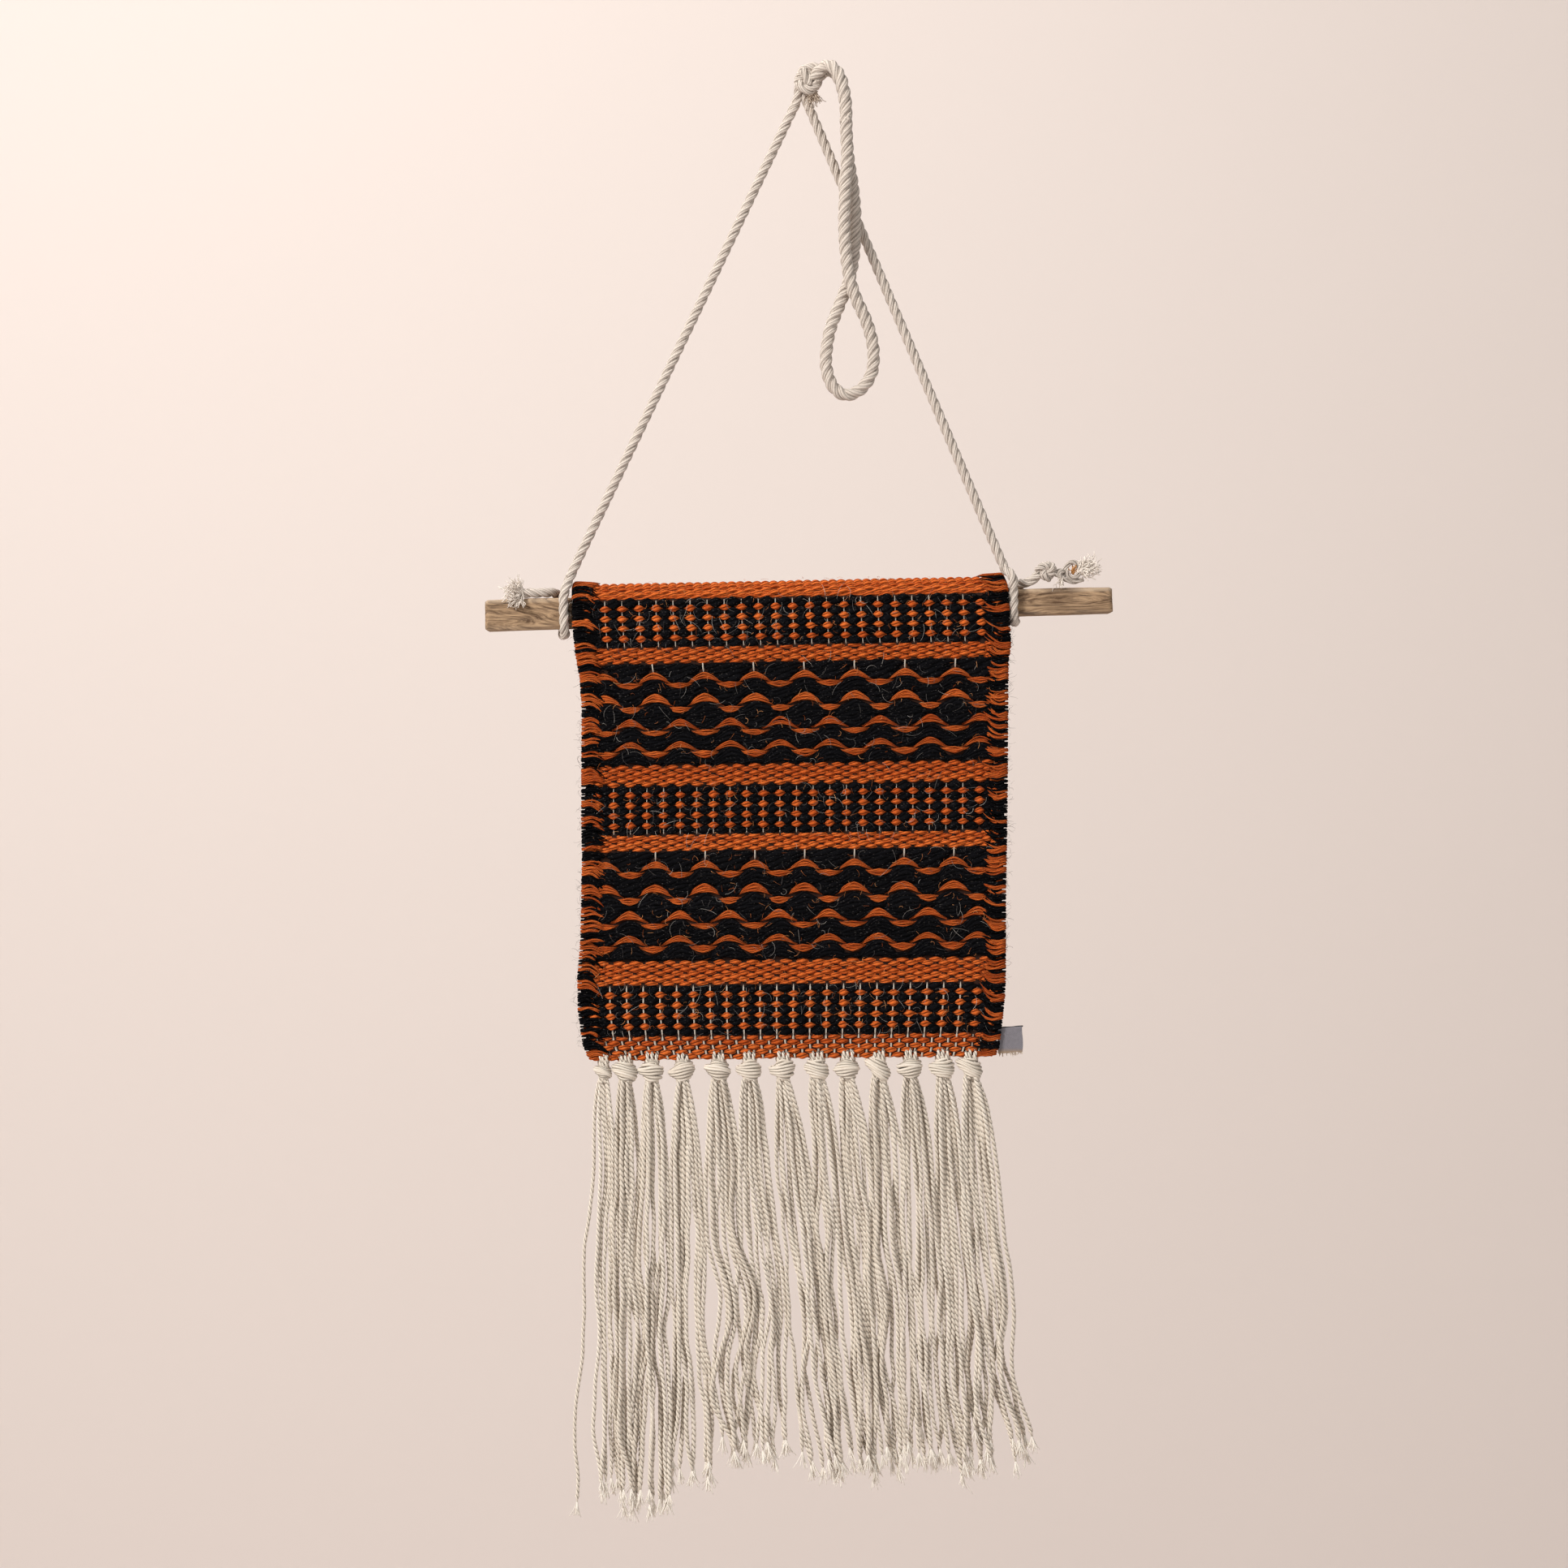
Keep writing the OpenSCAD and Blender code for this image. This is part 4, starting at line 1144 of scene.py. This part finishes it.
frontArch = [(4.5, -6.5, 7), (7.5, -8, 11), (11.4, -10, 13.4), (14, -12, 12.2), (17.4, -14, 7.6),
             (19.2, -14.8, 1), (20.2, -15, -5), (20.5, -15, -13.5)]
backArch = [(5, -1, 7), (8.5, -1.6, 11), (12, -3.4, 12.4), (14.4, -6, 11.2), (17.4, -8.2, 7),
            (19.2, -8.5, 1), (20.2, -8.5, -5), (20.5, -8.5, -13.5)]


def metres(points):
    # mm to metres
    return np.asarray(points, float) * mm


def straight(a, b, n):
    # n even points from a to b
    t = np.linspace(0, 1, n)[:, None]
    return np.asarray(a) * (1 - t) + np.asarray(b) * t


def trefoil(centre, scale, depth, turn, n=44):
    # overhand knot: x = sin t + 2 sin 2t, z = cos t - 2 cos 2t, y = -sin 3t
    t = np.linspace(0, 2 * math.pi, n)
    x = np.sin(t) + 2 * np.sin(2 * t)
    z = np.cos(t) - 2 * np.cos(2 * t)
    y = -np.sin(3 * t) * depth
    c, s = math.cos(turn), math.sin(turn)
    return np.stack([centre[0] + scale * (x * c - z * s), centre[1] + y,
                     centre[2] + scale * (x * s + z * c)], axis=1)


whole = frontArch + loopRoute + backArch[::-1]
archParts = rope(metres(whole), ropeSizes["slack"] * mm, cuts=(metres(frontArch[-1]), metres(backArch[-1])))
loop = makePiece("cordSpareLoop", [archParts[1][0]], cordCotton)
arch = makePiece("cordLoopArch", [archParts[0][0], archParts[2][0]], cordCotton)
for piece, body, node in ((loop, "spare_loop", "cord_spare_loop"), (arch, "cord", "cord_loop_arch")):
    settle(piece, body, "cotton_cord", node)


def makeTopKnot():
    # one tight overhand knot of the doubled cord, the two ends that come up to it and a short brown tail
    middle = (2.4, -3.6, 7.4)
    routes = [trefoil(middle, 1.6, 2.4, 0.5), trefoil((2.8, -3.2, 7.8), 1.32, 1.9, 1.6)]
    rise = [[(-5.2, 0.2, -6), (-3.4, -0.4, -2.4), (-2.4, -2.0, 2.4), (-2.2, -3.8, 7.4), (-0.2, -5.2, 12.0),
             (4.4, -5.8, 13.4), (8.4, -6.2, 12.0)],
            [(2.9, 0.2, -6), (1.4, -0.4, -2), (0.6, -1.0, 1.8), (2.0, 0.6, 5.0), (4.0, 1.8, 8.0)],
            [(-2.4, -5.4, 6.0), (-0.4, -7.0, 3.0), (3.6, -7.2, 2.2), (7.0, -6.0, 6.4), (8.0, -4.6, 10.4)],
            [(-0.6, -6.4, 11.6), (1.6, -7.4, 8.0), (2.6, -7.0, 4.4)]]
    parts = [rope(metres(route), ropeSizes["taut"] * mm)[0] for route in routes + rise]
    piece = makePiece("cordTopKnot", parts, cordCotton)
    settle(piece, "cord", "cotton_cord", "cord_top_knot")
    stub, _ = rope(metres([(3.6, -4.6, 4.6), (4.4, -4.6, 1.8), (5.0, -4.4, -0.8)]), 4.2 * mm)
    fibres = frayed((4.9, -4.4, 0.6), (0.15, -0.1, -1.0), 70, 3.2, 2.4, 0.24, 0.6)
    tail = makePiece("cordTopTail", [stub, fibres],
                     hairLook("tailFibre", (0.34, 0.25, 0.18), (0.66, 0.56, 0.47)))
    settle(tail, "cord", "cotton_cord")


def frayed(at, way, count, long, wide, thick, curl=0.5, tone=(0.3, 1.0)):
    # loose fibres that leave a cord's end, open out and curl
    n = 12
    t = np.linspace(0, 1, n)[None, :, None]
    way = np.asarray(way, float) / np.linalg.norm(way)
    base = np.asarray(at, float) + rng.normal(0, wide * 0.35, (count, 1, 3))
    fan = rng.normal(0, 1, (count, 1, 3))
    wave = np.stack([smoothNoise(count, n, 4, 1.0) for _ in range(3)], axis=-1)
    size = long * rng.uniform(0.45, 1.1, (count, 1, 1))
    paths = base + (way * t + fan * wide / long * t ** 1.3 + wave * curl * 0.35 * t) * size
    return roundTubes(paths * mm, thick * mm * (1 - 0.35 * t[..., 0]), 5, tone=rng.uniform(*tone, count),
                      start=(0.3, 1.0, 0.2))


makeTopKnot()
print("top knot ready")


def turnCorner(u, sideY, sideW, angleFrom):
    # a quarter turn of the cord round one edge of the rod
    a = np.radians(angleFrom + np.array([0, 30, 60, 90]))
    r = rodSizes["chamfer"] + ropeSizes["taut"] / 2 + ropeSizes["gap"]
    y = sideY * (rodSizes["depth"] / 2 - rodSizes["chamfer"]) + r * np.cos(a)
    w = sideW * (rodHeight(u) / 2 - rodSizes["chamfer"]) + r * np.sin(a)
    return [(u, one, two) for one, two in zip(y, w)]


def onTop(u, y, up):
    # a point of the cord's middle that lies on the rod
    return (u, y, rodHeight(u) / 2 + ropeSizes["taut"] / 2 + ropeSizes["gap"] + up)


def makeHitches():
    # each leg goes down the rod's front, under it, up behind and along its top to a frayed end
    front = -(rodSizes["depth"] / 2 + ropeSizes["taut"] / 2 + ropeSizes["gap"])
    leftRoute = ([(-112.9, -6.6, 17.2), (-113.9, -7.3, 14.6), (-115.0, -8.4, 11.8), (-116.0, front, 6.8)]
                 + turnCorner(-116.0, -1, -1, 180) + turnCorner(-117.6, 1, -1, 270)
                 + turnCorner(-120.0, 1, 1, 0)
                 + [onTop(-122, 0, 0.4), onTop(-125, -2.4, 0.4), onTop(-130, -3.6, 0.3),
                    onTop(-136, -4.4, 0.3)])
    rightRoute = ([(97.6, -6.7, 17.0), (99.2, -7.8, 15.0), (101.2, -9.4, 12.6), (101.6, front, 7.2)]
                  + turnCorner(101.4, -1, -1, 180) + turnCorner(103.0, 1, -1, 270)
                  + turnCorner(105.4, 1, 1, 0)
                  + [onTop(107, 0, 0.6), onTop(109.4, -2, 0.8), onTop(112, -3, 2.4),
                     onTop(114.6, -3.2, 4.4)])
    made = {}
    for side, legTop, pivot, route in (("Left", leftLegTop, leftPivot, leftRoute),
                                       ("Right", rightLegTop, rightPivot, rightRoute)):
        whole = np.vstack([metres(straight(legTop, pivot, 20))[:-1], fromRod(route)])
        (leg, legLine), (hitch, line) = rope(whole, ropeSizes["taut"] * mm, (1.0, 0.0, 0.0),
                                             cuts=(metres(pivot),))
        legPiece = makePiece(f"cord{side}Leg", [leg], cordCotton)
        hitchPiece = makePiece(f"cord{side}Hitch", [hitch], cordCotton)
        for piece, body, node in ((legPiece, "cord", f"cord_{side.lower()}_leg"),
                                  (hitchPiece, "rod", f"cord_{side.lower()}_hitch")):
            settle(piece, body, "cotton_cord", node)
        made[f"cord{side}Hitch"] = (hitchPiece, line)
    leftEnd = np.array(onTop(-134.5, -4.8, 0.4))
    leftWays = [(-0.3, -0.4, 1.2), (-0.9, -0.4, 1.0), (-1.3, -0.4, 0.6), (-1.4, -0.4, 0.0),
                (-1.2, -0.5, -0.6), (-0.8, -0.6, -1.0), (-0.2, -0.7, -1.2), (-0.8, -0.9, 0.3),
                (-0.7, -0.8, -0.4)]
    leftParts = [frayed(leftEnd + (-1.6, -0.8, -0.2), way, 17, 8.6, 0.8, 0.3, 0.5) for way in leftWays]
    leftTuft = rodFramePiece("cordLeftTuft", leftParts, cordFibre, "cord_left_tuft")
    knotAt = np.array(onTop(114.6, -3.2, 4.4)) + (3.4, -0.2, 1.6)
    parts = []
    for centre, scale, turn in ((knotAt, 1.25, 0.3), (knotAt + (0.6, 0.4, 0.2), 1.05, 1.7)):
        parts.append(rope(fromRod(trefoil(centre, scale, 1.9, turn)), 3.7 * mm)[0])
    lower = [(2.4, -0.8, -0.6), (5.0, -1.0, -2.0), (7.8, -0.8, -3.4), (10.6, -0.4, -5.0), (14.0, -0.2, -5.6),
             (18.0, 0.0, -4.4)]
    around = [(2.6, -0.2, 0.4), (5.4, 0.2, -0.8), (8.2, 0.4, -1.2), (9.8, 0.2, 1.4), (11.6, 0.0, 3.7),
              (14.4, -0.2, 3.6), (16.2, -0.4, 0.8), (15.4, -0.6, -2.6), (12.8, -0.8, -3.9),
              (10.4, -0.6, -2.2), (10.2, -0.4, 0.8)]
    second = [(4.6, 0.9, -1.0), (7.0, 1.2, 0.2), (8.8, 0.6, -2.4), (7.6, -0.8, -3.4), (6.4, -1.4, -1.4),
              (8.4, -1.0, 0.0)]
    for route, wide in ((lower, 2.3), (around, 2.6), (second, 2.4)):
        parts.append(rope(fromRod(knotAt + np.array(route)), wide * mm)[0])
    endKnot = makePiece("cordRightEndKnot", parts, cordCotton)
    settle(endKnot, "rod", "cotton_cord", "cord_right_end_knot")
    rightParts = [frayed(knotAt + (7.6, -1.0, -3.2), (-0.3, -0.4, -1), 24, 4.6, 1.1, 0.24, 0.5)]
    for way, long in (((1, -0.1, 0.1), 9.8), ((1, -0.2, 0.35), 10), ((0.9, 0, 0.6), 9.5),
                      ((0.75, -0.1, 0.95), 8.5), ((1, -0.1, -0.12), 8.5), ((0.5, 0, 1.1), 6.5)):
        rightParts.append(frayed(knotAt + (15.4, -0.3, -0.8), way, 22, long, 1.4, 0.29, 0.4))
    core = frayed(knotAt + (13.0, 0.4, -1.6), (0.1, -0.35, 1), 26, 3.6, 1.1, 0.26, 0.3)
    rightTuft = rodFramePiece("cordRightTuft", rightParts, cordFibre, "cord_right_tuft")
    rightCore = rodFramePiece("cordRightCore", [core], coreFibre)
    for name, tuft in (("cordLeftHitch", [leftTuft]), ("cordRightHitch", [endKnot, rightTuft, rightCore])):
        piece, line = made[name]
        "bare" if name == "cordLeftHitch" else "knot"


def rodFramePiece(name, parts, material, *nodes):
    # frayed() works in the rod's frame; this turns its points into the row frame
    for part in parts:
        part["verts"] = fromRod(part["verts"] / mm)
    return settle(makePiece(name, parts, material), "rod", "cotton_cord", *nodes)


makeHitches()
print("cord ready")


def plainLook(name, colour):
    # one colour with slow, faint blotches
    look = Look(name, 0.95, 0.0, 0.1)
    blotch = look.noise(look.place(), 6.0, 4.0)
    look.paint(look.mix(blotch * 0.5 + 0.25, tuple(c * 0.985 for c in colour), colour))
    return look.material


# metres
stageSizes = {"half": 6, "back": 2.9, "front": -4, "low": -1.6, "high": 4, "colour": (0.745, 0.675, 0.645)}


def makeStage():
    # an upright and a level plane far larger than the hanging
    half, back, front = stageSizes["half"], stageSizes["back"], stageSizes["front"]
    low, high = stageSizes["low"], stageSizes["high"]
    planes = {"backdrop": [(-half, back, low), (half, back, low), (half, back, high), (-half, back, high)],
              "floor": [(-half, front, low), (half, front, low), (half, back, low), (-half, back, low)]}
    for name, corners in planes.items():
        mesh = bpy.data.meshes.new(name)
        mesh.from_pydata(corners, [], [(0, 1, 2, 3)])
        mesh.materials.append(plainLook(name, stageSizes["colour"]))
        obj = bpy.data.objects.new(name, mesh)
        bpy.context.scene.collection.objects.link(obj)


def areaLight(name, place, target, size, power, colour):
    # a round lamp turned to its target
    data = bpy.data.lights.new(name, "AREA")
    data.shape = "DISK"
    data.size = size
    data.energy = power
    data.color = colour
    obj = bpy.data.objects.new(name, data)
    obj.location = place
    away = np.asarray(target, float) - np.asarray(place, float)
    obj.rotation_mode = "QUATERNION"
    obj.rotation_quaternion = mathutils.Vector(away.tolist()).to_track_quat("-Z", "Y")
    bpy.context.scene.collection.objects.link(obj)


def makeLights():
    # strong key from the upper left, weak fill from the right, one lamp for the backdrop
    middle = (0, 0, -0.33)
    areaLight("key", (-1.9, -2.0, 1.3), middle, 0.9, 96, (1.0, 0.97, 0.93))
    areaLight("fill", (2.2, -2.4, -0.2), middle, 2.4, 15, (0.96, 0.98, 1.0))
    areaLight("wallLight", (-1.2, 0.6, 1.9), (-0.2, 2.9, -0.2), 2.2, 62, (1.0, 0.97, 0.93))
    world = bpy.data.worlds.new("soft")
    world.use_nodes = True
    world.node_tree.nodes["Background"].inputs["Color"].default_value = (1.0, 0.95, 0.89, 1)
    world.node_tree.nodes["Background"].inputs["Strength"].default_value = 0.38
    bpy.context.scene.world = world
    bpy.context.scene.view_settings.view_transform = "Standard"


cameraSizes = {"middle": (-9.5, -334.0), "back": 1800.0, "lens": 85.0}


def makeCamera():
    # level, square to the cloth
    data = bpy.data.cameras.new("camera")
    data.lens = cameraSizes["lens"]
    obj = bpy.data.objects.new("camera", data)
    x, z = cameraSizes["middle"]
    obj.location = (x * mm, -cameraSizes["back"] * mm, z * mm)
    obj.rotation_euler = (math.pi / 2, 0, 0)
    bpy.context.scene.collection.objects.link(obj)
    bpy.context.scene.camera = obj


makeStage()
makeLights()
makeCamera()
print("stage ready")
